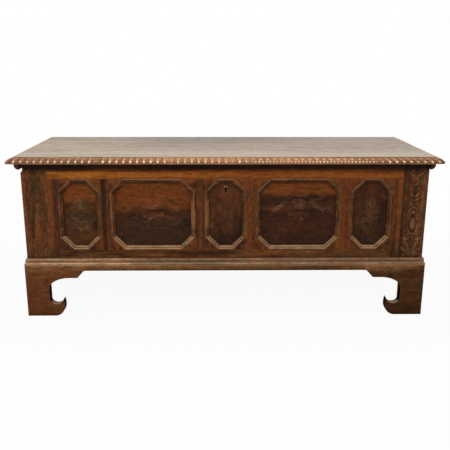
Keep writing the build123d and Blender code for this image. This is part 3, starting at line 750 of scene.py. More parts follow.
# ------------------------------------------------------------------ lid
@dataclass
class Lid:
    """Two planks inside a carved edge strip, on two end battens.

    Sizes are in metres. The beads are in millimetres: nub, twin and pearl hold a
    bead's level, half width and half height. The front strip has double beads
    between fine_from and fine_to, where its pattern is a little stretched, and is
    rubbed down at (X, reach, share of the relief that is left).
    """

    relief: float = 3.0 * MM
    pitch: float = 25.65 * MM
    toe: Pair = (2.0 * MM, 2.5 * MM)
    band_top: float = 9.0 * MM
    slope_radius: float = 40.0 * MM
    quirk: Pair = (1.0 * MM, 1.0 * MM)
    plain_tip: float = 12.0 * MM
    corner: float = 8.0 * MM
    across: tuple[int, int] = (7, 26)
    along_step: float = 0.9 * MM
    plank_bevel: float = 0.5 * MM
    batten_bevel: float = 1.0 * MM
    edge_seed: int = 11
    plank_seed: int = 31
    batten_seed: int = 41
    nub: Triple = (6.4, 6.0, 7.0)
    twin: Triple = (6.0, 4.7, 6.6)
    twin_pitch: float = 12.82
    fine_from: Pair = (0.06, 0.12)
    fine_to: Pair = (0.56, 0.60)
    stretch: float = 0.05
    jitter: float = 0.9 * MM
    rubbed: tuple[Triple, ...] = ((-0.492, 0.014, 0.1), (-0.212, 0.02, 0.45), (0.02, 0.03, 0.55),
                                  (0.30, 0.02, 0.7), (0.735, 0.02, 0.6))
    pearl: Triple = (20.0, 5.2, 5.0)
    width: float = field(init=False)
    height: float = field(init=False)
    under: float = field(init=False)
    half_length: float = field(init=False)
    front: float = field(init=False)
    back: float = field(init=False)

    def __post_init__(self) -> None:
        """Reads the strip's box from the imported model."""
        low, high = node_box("lid_edge_front")
        self.width, self.height = high[1] - low[1], high[2] - low[2]
        self.under, self.half_length, self.front = low[2], high[0], low[1]
        self.back = node_box("lid_edge_left")[1][1]

    @staticmethod
    def bead(across: np.ndarray, level: np.ndarray, shape: Triple) -> np.ndarray:
        """1 in a bead's middle, 0 on its elliptical outline, negative outside."""
        middle, half_width, half_height = shape
        return 1.0 - (across / half_width) ** 2 - ((level - middle) / half_height) ** 2

    def carving(self, along: np.ndarray, rise: np.ndarray, fine: np.ndarray,
                wear: np.ndarray) -> np.ndarray:
        """Height of the lobed carving, from 0 in the hollows to 1 on the crests.

        Each unit has a round nub low down (two where fine is 1), under a lobe that
        widens evenly upward between two raised strokes. A nub is a low power of 1
        minus the squared distance, so its crest is broad; a stroke is a bell curve
        of the distance to the lobe's side. A pearl stands over each pair of nubs.

        Args:
            along: distance along the edge, in metres.
            rise: distance up the band and the slope, in metres.
            fine: 0 for one nub a unit, 1 for two.
            wear: how much of the relief is left, from 0 to 1.

        Returns:
            The height at each point.
        """
        cell = (np.mod(along / self.pitch + 0.5, 1.0) - 0.5) * self.pitch / MM
        level = rise / MM
        single = self.bead(cell, level, self.nub)
        twin = self.bead(np.mod(cell, self.twin_pitch) - self.twin_pitch / 2, level, self.twin)
        nubs = (1 - fine) * np.clip(single, 0, 1) ** 0.35 + fine * np.clip(twin, 0, 1) ** 0.35
        side = 3.0 + 0.17 * np.clip(level - 10.0, 0.0, 30.0)
        arched = 1.0 - smooth_step(level + 0.03 * cell**2, 29.0, 31.5)
        inside = smooth_step(level, 7.0, 12.0) * arched
        strokes = np.maximum(0.95 * bell(cell + side, 1.9), 0.80 * bell(cell - side, 1.8))
        strokes = strokes * inside * (1.0 - 0.5 * fine)
        lobe = 0.56 * smooth_step(side - np.abs(cell), 0.0, 2.0) * inside
        pearls = 0.98 * fine * np.clip(self.bead(cell, level, self.pearl), 0, 1) ** 0.4
        dart = 0.32 * bell(np.abs(cell) - 12.8, 1.6) * (1.0 - smooth_step(level, 12.0, 18.0))
        height = np.maximum.reduce([nubs, strokes, lobe, pearls, (1.0 - fine) * dart])
        border = 0.45 * smooth_step(level, 31.0, 33.0)
        return np.maximum(height * wear + 0.42 * (1 - wear), border)

    def section(self) -> tuple[np.ndarray, np.ndarray, np.ndarray]:
        """The strip's section as a closed loop: an upright band under a slope.

        The slope is an arc of the given radius through the band's top and the
        quirk's foot; its centre lies below the middle of that chord.

        Returns:
            Points (reach, rise) in metres, outward normals, and the distance up
            the carved face, which is negative off it.
        """
        first = np.array([self.width, self.band_top])
        last = np.array([self.quirk[0], self.height - self.quirk[1]])
        chord = last - first
        length = np.hypot(*chord)
        down = np.array([chord[1], -chord[0]]) / -length
        centre = (first + last) / 2 + down * np.sqrt(self.slope_radius**2 - (length / 2) ** 2)
        ends = [np.arctan2(*(point - centre)[::-1]) for point in (first, last)]
        angle = np.linspace(ends[0], ends[1], self.across[1])
        spoke = np.stack([np.cos(angle), np.sin(angle)], -1)
        level = np.linspace(self.toe[1], self.band_top, self.across[0], endpoint=False)
        band = np.stack([np.full_like(level, self.width), level], -1)
        face = np.concatenate([band, centre + self.slope_radius * spoke])
        normal = np.concatenate([np.tile([1.0, 0.0], (len(band), 1)), spoke])
        steps = np.linalg.norm(np.diff(face, axis=0), axis=1)
        climb = np.concatenate([[0.0], np.cumsum(steps)])
        plain = np.array([[self.quirk[0], last[1] + 0.2 * MM], [self.quirk[0], self.height],
                          [0.0, self.height], [0.0, 0.0], [self.width - self.toe[0], 0.0]])
        loop = np.concatenate([face, plain])
        normals = np.concatenate([normal, np.zeros_like(plain)])
        return loop, normals, np.concatenate([climb, np.full(len(plain), -1.0)])

    def strip(self, name: str, stations: np.ndarray, place: Callable[..., np.ndarray],
              fine: np.ndarray, wear: np.ndarray, from_tip: np.ndarray) -> bpy.types.Object:
        """Carries the carved section along an edge.

        Args:
            name: the object's name.
            stations: distance of each section along the edge, in metres.
            place: turns reach and height above the lid's underside into model points.
            fine: how far the double beads apply at each station.
            wear: how much relief is left at each station.
            from_tip: distance from the nearest mitred tip, which stays plain.

        Returns:
            The new object.
        """
        loop, normals, climb = self.section()
        along = np.repeat(stations[:, None], len(loop), axis=1)
        rise = np.repeat(climb[None, :], len(stations), axis=0)
        carved = self.carving(along, rise, fine[:, None], wear[:, None])
        plain = 1.0 - smooth_step(from_tip, 0.2 * self.plain_tip, self.plain_tip)[:, None]
        carved = carved + (1.0 - carved) * plain
        height = np.where(rise >= 0.0, carved - 0.35 * plain, 0.75)
        sink = np.where(rise >= 0.0, (1.0 - carved) * self.relief, 0.0)
        reach = loop[None, :, 0] - normals[None, :, 0] * sink
        level = loop[None, :, 1] - normals[None, :, 1] * sink
        points = place(reach, level)
        return build_mesh(name, points.reshape(-1, 3), tube_polygons(len(stations), len(loop)),
                          {"relief": height}, smooth_angle=1.0)

    def edge_front(self) -> bpy.types.Object:
        """The front strip: single beads on the left, double on the right, rubbed in places."""
        half = self.half_length
        stations = np.linspace(-half, half, int(2 * half / self.along_step))
        rub = value_noise(stations, stations * 0, 0.045, 3)
        fine = smooth_step(stations, *self.fine_from) * (1.0 - smooth_step(stations, *self.fine_to))
        wear = (0.88 + 0.16 * rub) * (1.0 - 0.2 * fine)
        for middle, reach, left in self.rubbed:
            away = smooth_step(np.abs(stations - middle), 0.3 * reach, reach)
            wear = np.minimum(wear, left + (1 - left) * away)
        stretched = stations - self.stretch * np.clip(stations - self.fine_from[0], 0.0, None)
        jitter = stretched + self.jitter * value_noise(stations, stations * 0 + 5, 0.03, 8)

        def place(reach: np.ndarray, level: np.ndarray) -> np.ndarray:
            """Mitred ends: a point's X shrinks in step with its reach."""
            x = stations[:, None] / half * (half - self.width + reach)
            return np.stack([x, self.front + self.width - reach, self.under + level], -1)

        return self.strip("carved_edge_front", jitter, place, fine, np.clip(wear, 0, 1),
                          half - np.abs(stations))

    def edge_end(self, side: Side) -> bpy.types.Object:
        """The strip on one end, mitred in front and rounded at the back corner."""
        depth = self.back - self.front
        stations = np.linspace(0.0, depth, int(depth / self.along_step))
        rub = value_noise(stations, stations * 0, 0.05, 20 + side.value)
        wear = np.clip(0.85 + 0.2 * rub, 0, 1)

        def place(reach: np.ndarray, level: np.ndarray) -> np.ndarray:
            """Y runs from the mitre to the back; the last stretch rounds the corner."""
            inset = self.width - reach
            share = stations[:, None] / depth
            y = self.front + inset + share * (depth - inset)
            past = np.clip(y - (self.back - self.corner), 0.0, self.corner)
            limit = self.width - self.corner + np.sqrt(np.maximum(self.corner**2 - past**2, 0.0))
            outward = self.half_length - self.width + np.minimum(reach, limit)
            return np.stack([side.value * outward, y, self.under + level], -1)

        return self.strip(f"carved_edge_{side.label}", stations, place, stations * 0, wear,
                          stations)

    def edges(self) -> None:
        """Makes and dresses the three carved strips."""
        # The pale crest tint is partly rubbed wear and partly a painted highlight on each nub.
        layers = (Patch((0.1, self.front, self.under), (0.5, 0.1, 0.1), (184, 132, 90), 0.4, 0.5),
                  ReliefTint("relief", (92, 50, 23), (238, 202, 168), 0.72, 0.9, (0.42, 0.56)))
        for piece, node in ((self.edge_front(), "lid_edge_front"),
                            (self.edge_end(Side.LEFT), "lid_edge_left"),
                            (self.edge_end(Side.RIGHT), "lid_edge_right")):
            grain = Grain.LENGTH if node.endswith("front") else Grain.DEPTH
            fit_new(piece, node, "lid",
                    CARVED_EDGE.material(piece.name, self.edge_seed + len(node), grain, layers))

    def planks(self) -> None:
        """Dresses the planks: greyed above, with worn and stained places, brown below."""
        top = node_box("lid_plank_back")[1][2]
        for number, node in enumerate(("lid_plank_front", "lid_plank_back")):
            layers = (
                Blotches((150, 140, 106), (2.2, 4.0, 1.0), 0.54, 0.2, 0.3,
                         (number * 3.0, 1.0, 0.0)),
                Blotches((110, 94, 78), (1.6, 6.0, 1.0), 0.55, 0.2, 0.3, (7.0, 4.0 + number, 0.0)),
                Shade(Axis.Y, 0.16, 0.28, (98, 82, 66), 0.5, 0.01),
                Shade(Axis.X, -0.5, -0.2, (98, 82, 68), 0.3, 0.05),
                Shade(Axis.X, 0.2, 0.5, (112, 94, 72), 0.5, 0.05),
                Shade(Axis.Y, -0.06, -0.22, (146, 129, 108), 0.8, 0.02),
                Patch((-0.02, 0.26, 0.65), (0.5, 0.22, 1.0), (76, 61, 47), 0.7, 0.5,
                      (2.2, 7.0, 1.0)),
                Blotches((84, 68, 50), (1.8, 16.0, 1.0), 0.5, 0.16, 0.3, (5.0, 9.0 + number, 0.0)),
                Shade(Axis.Y, -0.262, -0.284, (132, 106, 78), 0.6, 0.002),
                Shade(Axis.Z, top - 1.5 * MM, top - 3.0 * MM, (74, 45, 28), 0.82, 0.0),
            )
            dress(node, LID_TOP.material(node, self.plank_seed + number, Grain.LENGTH, layers),
                  self.plank_bevel)

    def battens(self) -> None:
        """Dresses the two battens, with painted shade that darkens them towards the lid."""
        for number, side in enumerate(Side):
            node = f"lid_batten_{side.label}"
            layers = (Shade(Axis.Z, self.under - 60 * MM, self.under, (52, 30, 18), 0.75, 0.0),)
            dress(node, CASE.material(node, self.batten_seed + number, Grain.DEPTH, layers),
                  self.batten_bevel)

    def build(self) -> None:
        """Makes and dresses everything that rides on the lid."""
        self.edges()
        self.planks()
        self.battens()


def rub_edges(node: str, tint: Colour = (158, 110, 66),
              strength: float = 0.45) -> tuple[Layer, ...]:
    """One layer that rubs the edges of a squared node."""
    low, high = node_box(node)
    return (EdgeRub(tuple(low), tuple(high), tint, strength),)


# ------------------------------------------------------------------ pilasters
@dataclass
class Pilasters:
    """The two corner boards, carved with a candelabrum of leaves and beads. Sizes in metres."""

    step: float = 0.75 * MM
    recess: float = 6.0 * MM
    relief: float = 3.2 * MM
    border: float = 7.0 * MM
    arris: Pair = (1.2 * MM, 1.6 * MM)
    chip: float = 15.0 * MM
    chip_from: Pair = (44.0 * MM, 28.0 * MM)
    seed: int = 51

    def oval(self, across: np.ndarray, z: np.ndarray, middle: Pair, radii: Pair) -> np.ndarray:
        """1 in the middle of an ellipse, 0 on its outline, negative outside. Millimetres."""
        return 1.0 - ((across - middle[0]) / radii[0]) ** 2 - ((z - middle[1]) / radii[1]) ** 2

    def ring(self, x: np.ndarray, z: np.ndarray, middle: float, radii: Pair,
             width: float) -> np.ndarray:
        """A raised oval band: 1 minus the squared distance from the oval over its half width."""
        size = np.sqrt(radii[0] * radii[1])
        off = (np.sqrt((x / radii[0]) ** 2 + ((z - middle) / radii[1]) ** 2) - 1.0) * size
        return 1.0 - (off / width) ** 2

    def leaf(self, across: np.ndarray, z: np.ndarray, root: Pair, lean: float,
             length: float, width: float) -> np.ndarray:
        """One lobed leaf, in millimetres.

        The leaf's line leans by an angle and bends outward with the square of its
        length. Its half width swells as a sine and waves to make the lobes, and a
        vein is cut along the middle.

        Args:
            across: distance from the board's middle line.
            z: height.
            root: where the leaf starts, across and up.
            lean: angle from upright, in radians.
            length: the leaf's length.
            width: half its width.

        Returns:
            1 on the leaf's middle line, 0 on its outline, negative outside.
        """
        u, v = across - root[0], z - root[1]
        along = (u * np.sin(lean) + v * np.cos(lean)) / length
        inside = np.clip(along, 0.0, 1.0)
        off = u * np.cos(lean) - v * np.sin(lean) - 0.25 * length * inside**2
        lobes = 1.0 + 0.22 * np.cos(6 * np.pi * inside)
        half = width * np.sin(np.pi * inside**0.75) * lobes + 0.15
        shape = 1.0 - (off / half) ** 2 - 0.4 * bell(off, 1.0) * (inside < 0.85)
        return np.where((along > 0) & (along < 1), shape, -1.0)

    def foliage(self, x: np.ndarray, z: np.ndarray) -> np.ndarray:
        """Carved height over the field, from shapes mirrored about the middle line.

        Every shape stands as a dome, the root of its value, inside a cut outline, a
        bell curve of the value about zero; the ground between them lies at a
        middle height.

        Args:
            x: distance from the middle line, in millimetres.
            z: height above the plinth moulding, in millimetres.

        Returns:
            Height from 0 to 1.
        """
        across = np.abs(x)
        shapes = [self.ring(x, z, 307.0, (11.0, 13.0), 3.4),
                  self.oval(x, z, (0.0, 307.0), (4.5, 6.0)),
                  self.leaf(across, z, (3.0, 322.0), 0.7, 38.0, 7.0),
                  self.leaf(across, z, (6.0, 286.0), 2.2, 20.0, 5.0),
                  self.ring(x, z, 150.0, (23.0, 55.0), 2.6),
                  self.oval(x, z, (0.0, 184.0), (11.0, 9.0)),
                  self.oval(x, z, (0.0, 136.0), (13.5, 30.0)),
                  self.ring(x, z, 136.0, (9.0, 22.0), 1.6)]
        shapes += [self.oval(across, z, (11.5, level), (4.2, 3.4)) for level in (278.0, 262.0)]
        shapes += [self.leaf(across, z, (2.5, level), 0.55, 27.0, 6.0)
                   for level in (208.0, 226.0, 244.0)]
        shapes += [self.oval(across, z, (31.0, level), (3.6, 4.6))
                   for level in np.arange(92.0, 216.0, 13.0)]
        shapes += [self.oval(across, z, (38.5, level), (2.6, 2.6))
                   for level in np.arange(14.0, 372.0, 8.5)]
        shapes += [self.leaf(across, z, (2.0, 2.0), lean, length, 9.0)
                   for lean, length in ((0.15, 84.0), (0.62, 72.0), (1.15, 44.0))]
        shapes += [self.leaf(across, z, (12.0, 70.0), 1.0, 34.0, 7.0),
                   self.oval(x, z, (0.0, 84.0), (6.0, 7.0))]
        crown, cut = np.zeros_like(x), np.zeros_like(x)
        for shape in shapes:
            crown = np.maximum(crown, np.sqrt(np.clip(shape, 0.0, 1.0)))
            cut = np.maximum(cut, bell(shape, 0.3))
        ground = 0.42 * (1.0 - cut)
        return np.where(crown > 0.35, np.maximum(crown, ground), ground)

    def board(self, side: Side, keep: float) -> bpy.types.Object:
        """One carved board; keep is the share of the relief left by wear."""
        low, high = node_box(f"pilaster_{side.label}")
        field_low = node_box("plinth_moulding_front")[1][2]
        columns = int((high[0] - low[0]) / self.step)
        rows = int((high[2] - low[2]) / self.step)
        x, z = np.meshgrid(np.linspace(low[0], high[0], columns),
                           np.linspace(low[2], high[2], rows))
        middle, half = (low[0] + high[0]) / 2, (high[0] - low[0]) / 2
        from_edge = half - np.abs(x - middle)
        carved = self.foliage((x - middle) / MM, (z - field_low) / MM)
        worn = np.clip(keep + 0.35 * value_noise(x, z, 0.03, 14 - side.value), 0.1, 1.0)
        carved = 0.5 + (carved - 0.5) * worn + 0.07 * value_noise(x, z, 0.005, 4)
        inset = np.minimum(from_edge, z - field_low)
        frame_edge = 1.0 - smooth_step(inset, 0.8 * self.border, self.border)
        height = np.clip(carved * (1.0 - frame_edge) + 0.58 * frame_edge, 0.0, 1.0)
        rounding = self.arris[0] * (1.0 - smooth_step(from_edge, 0.0, self.arris[1]))
        y = low[1] + self.recess + (1.0 - height) * self.relief + rounding
        block = z < field_low - 0.2 * MM
        y = np.where(block, low[1] + rounding * 0.3, y)
        if side is Side.LEFT:
            ragged = z + 1.5 * MM * value_noise(z, z * 0, 0.004, 6)
            start, end = high[2] - self.chip_from[0], high[2] - self.chip_from[1]
            bite = self.chip * smooth_step(ragged, start, end)
            x = high[0] - (high[0] - x) * (1.0 - bite / (high[0] - low[0]))
        points = np.stack([x, y, z], -1)
        return relief_board(f"carved_pilaster_{side.label}", points, high[1], {"relief": height})

    def build(self) -> None:
        """Makes and dresses both boards."""
        for number, (side, keep) in enumerate(((Side.LEFT, 0.5), (Side.RIGHT, 0.95))):
            node = f"pilaster_{side.label}"
            low, high = node_box(node)
            inner = high[0] if side is Side.LEFT else low[0]
            # On the left the inner strip is a plain ochre border; on the right it is a painted
            # shadow that the frame casts on the recessed board. The band under the lid at the top
            # is painted shadow too.
            inner_border_and_shadow = (85, 57, 27) if side is Side.LEFT else (43, 22, 11)
            crest = (122, 81, 37) if side is Side.LEFT else (136, 103, 67)
            piece = self.board(side, keep)
            tone = ReliefTint("relief", (37, 20, 12), crest, 0.75, 0.5, (0.4, 0.56))
            layers = (tone, Blotches((89, 42, 25), (9.0, 9.0, 7.0), 0.5, 0.15, 0.4,
                                     (4.0 * number, 0.0, 0.0)),
                      Blotches((56, 40, 20), (8.0, 8.0, 10.0), 0.52, 0.12, 0.45,
                               (0.0, 3.0, number * 6.0)),
                      Shade(Axis.Z, 0.36, 0.26, (45, 26, 17), 0.25 + 0.25 * number, 0.02),
                      Shade(Axis.X, inner + side.value * 17 * MM, inner + side.value * 12 * MM,
                            inner_border_and_shadow, 0.45, 0.003),
                      UNDER_LID_SHADOW_AND_GRIME)
            fit_new(piece, node, "carcase",
                    PILASTER.material(piece.name, self.seed + number, Grain.HEIGHT, layers))


# ------------------------------------------------------------------ panels
@dataclass(frozen=True)
class PanelTone:
    """How one panel's wood, cut lines and petals differ from the others'."""

    grain: Grain
    stroke: tuple[Colour, float]
    petal: tuple[Colour, float]
    bands: tuple[Layer, ...]


SOOT = (31, 19, 11)
PANEL_TONES = {
    1: PanelTone(Grain.LENGTH, ((118, 92, 60), 0.55), ((40, 28, 16), 0.55), (
        Shade(Axis.Z, 0.455, 0.480, (111, 58, 22), 0.75, 0.02),
        Shade(Axis.Z, 0.440, 0.400, (57, 39, 26), 0.6, 0.02),
        Shade(Axis.Z, 0.350, 0.328, (90, 53, 20), 0.6, 0.012),
        Patch((-0.503, -0.28, 0.382), (0.02, 0.2, 0.016), (38, 20, 13), 0.6, 0.5))),
    2: PanelTone(Grain.LENGTH, ((140, 90, 60), 0.45), ((108, 62, 38), 0.35), (
        Shade(Axis.Z, 0.405, 0.465, (101, 51, 19), 0.85, 0.03),
        Shade(Axis.Z, 0.430, 0.375, (54, 33, 20), 0.75, 0.03),
        Patch((-0.17, -0.28, 0.375), (0.04, 0.2, 0.03), (34, 24, 16), 0.6, 0.5))),
    3: PanelTone(Grain.HEIGHT, ((98, 66, 42), 0.35), ((50, 32, 22), 0.35), (
        Shade(Axis.Z, 0.36, 0.31, SOOT, 0.7, 0.02),
        Shade(Axis.Z, 0.37, 0.46, (87, 48, 25), 0.6, 0.03),
        Patch((0.0, -0.28, 0.42), (0.04, 0.2, 0.08), (48, 30, 19), 0.4, 0.4),
        Patch((-0.062, -0.28, 0.372), (0.014, 0.2, 0.02), (112, 84, 58), 0.5, 0.7),
        Patch((0.07, -0.28, 0.5), (0.01, 0.2, 0.016), (112, 80, 54), 0.5, 0.7))),
    4: PanelTone(Grain.LENGTH, ((150, 108, 80), 0.45), ((96, 60, 44), 0.35), (
        Shade(Axis.Z, 0.487, 0.503, (113, 59, 20), 0.8, 0.012),
        Shade(Axis.Z, 0.487, 0.470, (59, 30, 17), 0.5, 0.01),
        Shade(Axis.Z, 0.36, 0.30, (47, 26, 14), 0.5, 0.03))),
    5: PanelTone(Grain.HEIGHT, ((104, 76, 54), 0.45), ((28, 21, 12), 0.75), (
        Shade(Axis.Z, 0.46, 0.54, (80, 37, 22), 0.5, 0.03),
        Shade(Axis.Z, 0.45, 0.34, (44, 30, 18), 0.6, 0.03))),
}


@dataclass
class Panels:
    """The five sunk panels with worn incised foliage.

    Sizes are in metres. A panel is wide from the given half width on, and its
    foliage is then lifted. The pale rim over the keyhole's eye has a distance from
    it and a width, and the lattice is finer round the keyhole.
    """

    step: float = 1.15 * MM
    groove: float = 0.55 * MM
    stroke: float = 1.25 * MM
    wide_lift: float = 26.0 * MM
    wide_from: float = 0.1
    fine_step: float = 0.4 * MM
    waver: float = 0.25 * MM
    dirt_reach: Pair = (14.0 * MM, 38.0 * MM)
    rim: Pair = (1.6 * MM, 1.3 * MM)
    keyhole_panel: int = 3
    keyhole_drop: float = 105.0 * MM
    eye_radius: float = 4.5 * MM
    slot_half: Pair = (2.75 * MM, 8.5 * MM)
    seed: int = 61

    def spiral(self, centre: Pair, radius: float, turns: float, start: float,
               sign: int) -> np.ndarray:
        """A scroll: radius shrinks evenly with the angle. Points in millimetres."""
        t = np.linspace(0.0, 1.0, 60)
        angle = start + sign * 2 * np.pi * turns * t
        reach = radius * (1.0 - 0.88 * t)
        return np.stack([centre[0] + reach * np.cos(angle), centre[1] + reach * np.sin(angle)], -1)

    def petal(self, root: Sequence[float], lean: float, length: float, width: float) -> np.ndarray:
        """Outline of a pointed petal: its half width swells as a sine along it."""
        t = np.linspace(0.0, 1.0, 26)
        half = width * np.sin(np.pi * t)
        side = np.concatenate([np.stack([half, t * length], -1),
                               np.stack([-half, t * length], -1)[::-1]])
        turn = np.array([[np.cos(lean), np.sin(lean)], [-np.sin(lean), np.cos(lean)]])
        return side @ turn.T + np.array(root)

    def wide_design(self) -> tuple[list[np.ndarray], list[tuple[float, ...]]]:
        """Paired scrolls that spread from a fan of petals, for a wide panel.

        Returns:
            Cut lines for the right half and the middle, and filled petals as
            (root x, root z, lean, length, half width).
        """
        sweep = np.linspace(0.15, np.pi / 2, 50)
        arch = np.stack([66 * np.cos(sweep), 52 * np.sin(sweep) + 3 * np.sin(11 * sweep) - 4], -1)
        inner = np.stack([40 * np.cos(sweep), 34 * np.sin(sweep) - 2], -1)
        stem = np.stack([20 + 60 * sweep, 6 * np.sin(4 * sweep) - 2], -1)
        lines = [arch, inner, stem, self.spiral((60, 10), 14, 1.4, np.pi, -1),
                 self.spiral((88, -4), 12, 1.3, 2.4, 1),
                 self.spiral((34, -30), 10, 1.3, 0.6, 1), self.spiral((14, -46), 8, 1.2, 2.0, -1)]
        petals = [(0, -4, lean, 42 - 6 * lean, 6.0) for lean in (0.3, 0.75, 1.2)]
        petals += [(44 + 12 * k, 14 - 5 * k, 0.4 + 0.5 * k, 14, 3.4) for k in range(5)]
        petals += [(1, -26, 2.6, 28, 5.0), (3, -22, 1.9, 24, 4.5)]
        return lines, petals

    def narrow_design(self) -> tuple[list[np.ndarray], list[tuple[float, ...]]]:
        """A flowering stem with paired leaves and scrolls, for a narrow panel.

        Returns:
            Cut lines and filled petals, as for a wide panel.
        """
        t = np.linspace(0.0, 1.0, 60)
        lines = [np.stack([1.5 * np.sin(9 * t), -84 + 140 * t], -1),
                 np.stack([14 + 9 * np.sin(7 * t), -80 + 120 * t], -1),
                 np.stack([30 + 5 * np.sin(11 * t + 1), -60 + 90 * t], -1)]
        petals = [(0, 36, lean, 26, 4.5) for lean in (0.0, 0.5, 1.0)]
        for number in range(4):
            level = -66 + 28 * number
            petals += [(1, level, 0.6, 26, 4.5), (5, level + 8, 1.4, 22, 3.6)]
            lines.append(self.spiral((22, level + 20), 8, 1.3, 3.6, -1))
        return lines, petals

    def incised(self, x: np.ndarray, z: np.ndarray, lines: Sequence[np.ndarray],
                petals: Sequence[tuple[float, ...]]) -> tuple[np.ndarray, np.ndarray]:
        """Cut lines and the petals that they enclose, mirrored about the middle.

        Args:
            x: distance from the panel's middle line, in metres.
            z: height above its middle, in metres.
            lines: curves in millimetres.
            petals: (root x, root z, lean, length, half width) in millimetres.

        Returns:
            Depth of the cut, a bell curve of the distance to the nearest line, and
            how far each point lies inside a petal, both from 0 to 1.
        """
        across, up = np.abs(x) / MM, z / MM
        curves = list(lines) + [self.petal(item[:2], *item[2:]) for item in petals]
        nearest, inside = np.full(x.shape, 1e3), np.zeros(x.shape)
        for curve in curves:
            low, high = curve.min(0) - 4.0, curve.max(0) + 4.0
            near = (across > low[0]) & (across < high[0]) & (up > low[1]) & (up < high[1])
            aside = across[near][:, None] - curve[None, :, 0]
            above = up[near][:, None] - curve[None, :, 1]
            gap = np.hypot(aside, above)
            nearest[near] = np.minimum(nearest[near], gap.min(axis=1, initial=1e3))
        for root_x, root_z, lean, length, width in petals:
            u, v = across - root_x, up - root_z
            share = np.clip((u * np.sin(lean) + v * np.cos(lean)) / length, 0.0, 1.0)
            off = u * np.cos(lean) - v * np.sin(lean)
            within = width * np.sin(np.pi * share) - np.abs(off)
            inside = np.maximum(inside, smooth_step(within, 0.0, 1.5))
        return bell(nearest * MM, self.stroke), inside

    def lattice(self, low: float, high: float, fine: Pair) -> np.ndarray:
        """Grid positions along one direction, closer together inside the fine range."""
        coarse = np.linspace(low, high, int((high - low) / self.step))
        if fine[1] <= fine[0]:
            return coarse
        extra = np.arange(fine[0], fine[1], self.fine_step)
        return np.sort(np.concatenate([coarse[(coarse < fine[0]) | (coarse > fine[1])], extra]))

    def panel(self, number: int) -> bpy.types.Object:
        """One panel: a field dished by a hair, with cut lines, petals, and dirt with painted shade
        along the moulding.
        """
        low, high = node_box(f"front_panel_{number}")
        holed = number == self.keyhole_panel
        middle_x = (low[0] + high[0]) / 2
        eye = RIM - self.keyhole_drop
        fine_x = (middle_x - 9 * MM, middle_x + 9 * MM) if holed else (0.0, 0.0)
        fine_z = (eye - 22 * MM, eye + 9 * MM) if holed else (0.0, 0.0)
        x, z = np.meshgrid(self.lattice(low[0], high[0], fine_x),
                           self.lattice(low[2], high[2], fine_z))
        ring_low, ring_high = node_box(f"panel_moulding_{number}")
        middle, half = (ring_low + ring_high) / 2, (ring_high - ring_low) / 2
        across, up = x - middle[0], z - middle[2]
        if half[0] > self.wide_from:
            cut, petals = self.incised(across, up - self.wide_lift, *self.wide_design())
        else:
            cut, petals = self.incised(across, up, *self.narrow_design())
        left = np.clip(0.7 + 0.7 * value_noise(x, z, 0.03, 40 + number), 0.0, 1.0)
        cut, petals = cut * left, petals * left
        corner = half[0] + half[2] - OCTAGON_CUT - np.abs(across) - np.abs(up)
        from_ring = np.minimum(half[0] - np.abs(across), half[2] - np.abs(up))
        from_ring = np.minimum(from_ring, corner * DIAGONAL)
        # Darker towards the moulding: dirt, and painted shade in the corner of the recess.
        ragged = from_ring + 5 * MM * value_noise(x, z, 0.02, 60 + number)
        dirt = 1.0 - smooth_step(ragged, *self.dirt_reach)
        away = self.keyhole(across, z - eye) if holed else np.full(x.shape, 1.0)
        hole = 1.0 - smooth_step(away, -0.7 * MM, 0.3 * MM)
        rim = bell(away - self.rim[0], self.rim[1]) * smooth_step(z - eye, 1 * MM, 5 * MM)
        waver = self.waver * (1 + value_noise(x, z, 0.05, number))
        y = low[1] + cut * self.groove + waver + hole * 10 * MM
        points = np.stack([x, y, z], -1)
        return relief_board(f"incised_panel_{number}", points, high[1],
                            {"cut": cut, "petal": petals, "dirt": dirt, "hole": hole, "rim": rim})

    def keyhole(self, across: np.ndarray, up: np.ndarray) -> np.ndarray:
        """Distance to the keyhole, a round eye over a slot, negative inside it. Metres."""
        eye = np.hypot(across, up) - self.eye_radius
        half_width, half_length = self.slot_half
        slot = np.maximum(np.abs(across) - half_width, np.abs(up + half_length) - half_length)
        return np.minimum(eye, slot)

    def build(self) -> None:
        """Makes and dresses the five panels."""
        for number, tone in PANEL_TONES.items():
            piece = self.panel(number)
            layers = tone.bands + (
                Blotches(SOOT, (6.0, 6.0, 16.0), 0.54, 0.12, 0.45, (number * 2.0, 0.0, 5.0)),
                Blotches((96, 60, 46), (12.0, 12.0, 26.0), 0.58, 0.1, 0.3,
                         (0.0, number * 3.0, 2.0)),
                AttributeTint("petal", *tone.petal, 0.85),
                # Dirt with painted shade along the moulding.
                AttributeTint("dirt", (30, 17, 10), 0.3),
                AttributeTint("cut", *tone.stroke, 0.35),
                AttributeTint("rim", (176, 146, 118), 0.8),
                # The keyhole's blind bottom is painted near black: painted shade of the opening.
                AttributeTint("hole", (16, 10, 7), 1.0))
            fit_new(piece, f"front_panel_{number}", "carcase",
                    PANEL.material(piece.name, self.seed + number, tone.grain, layers))


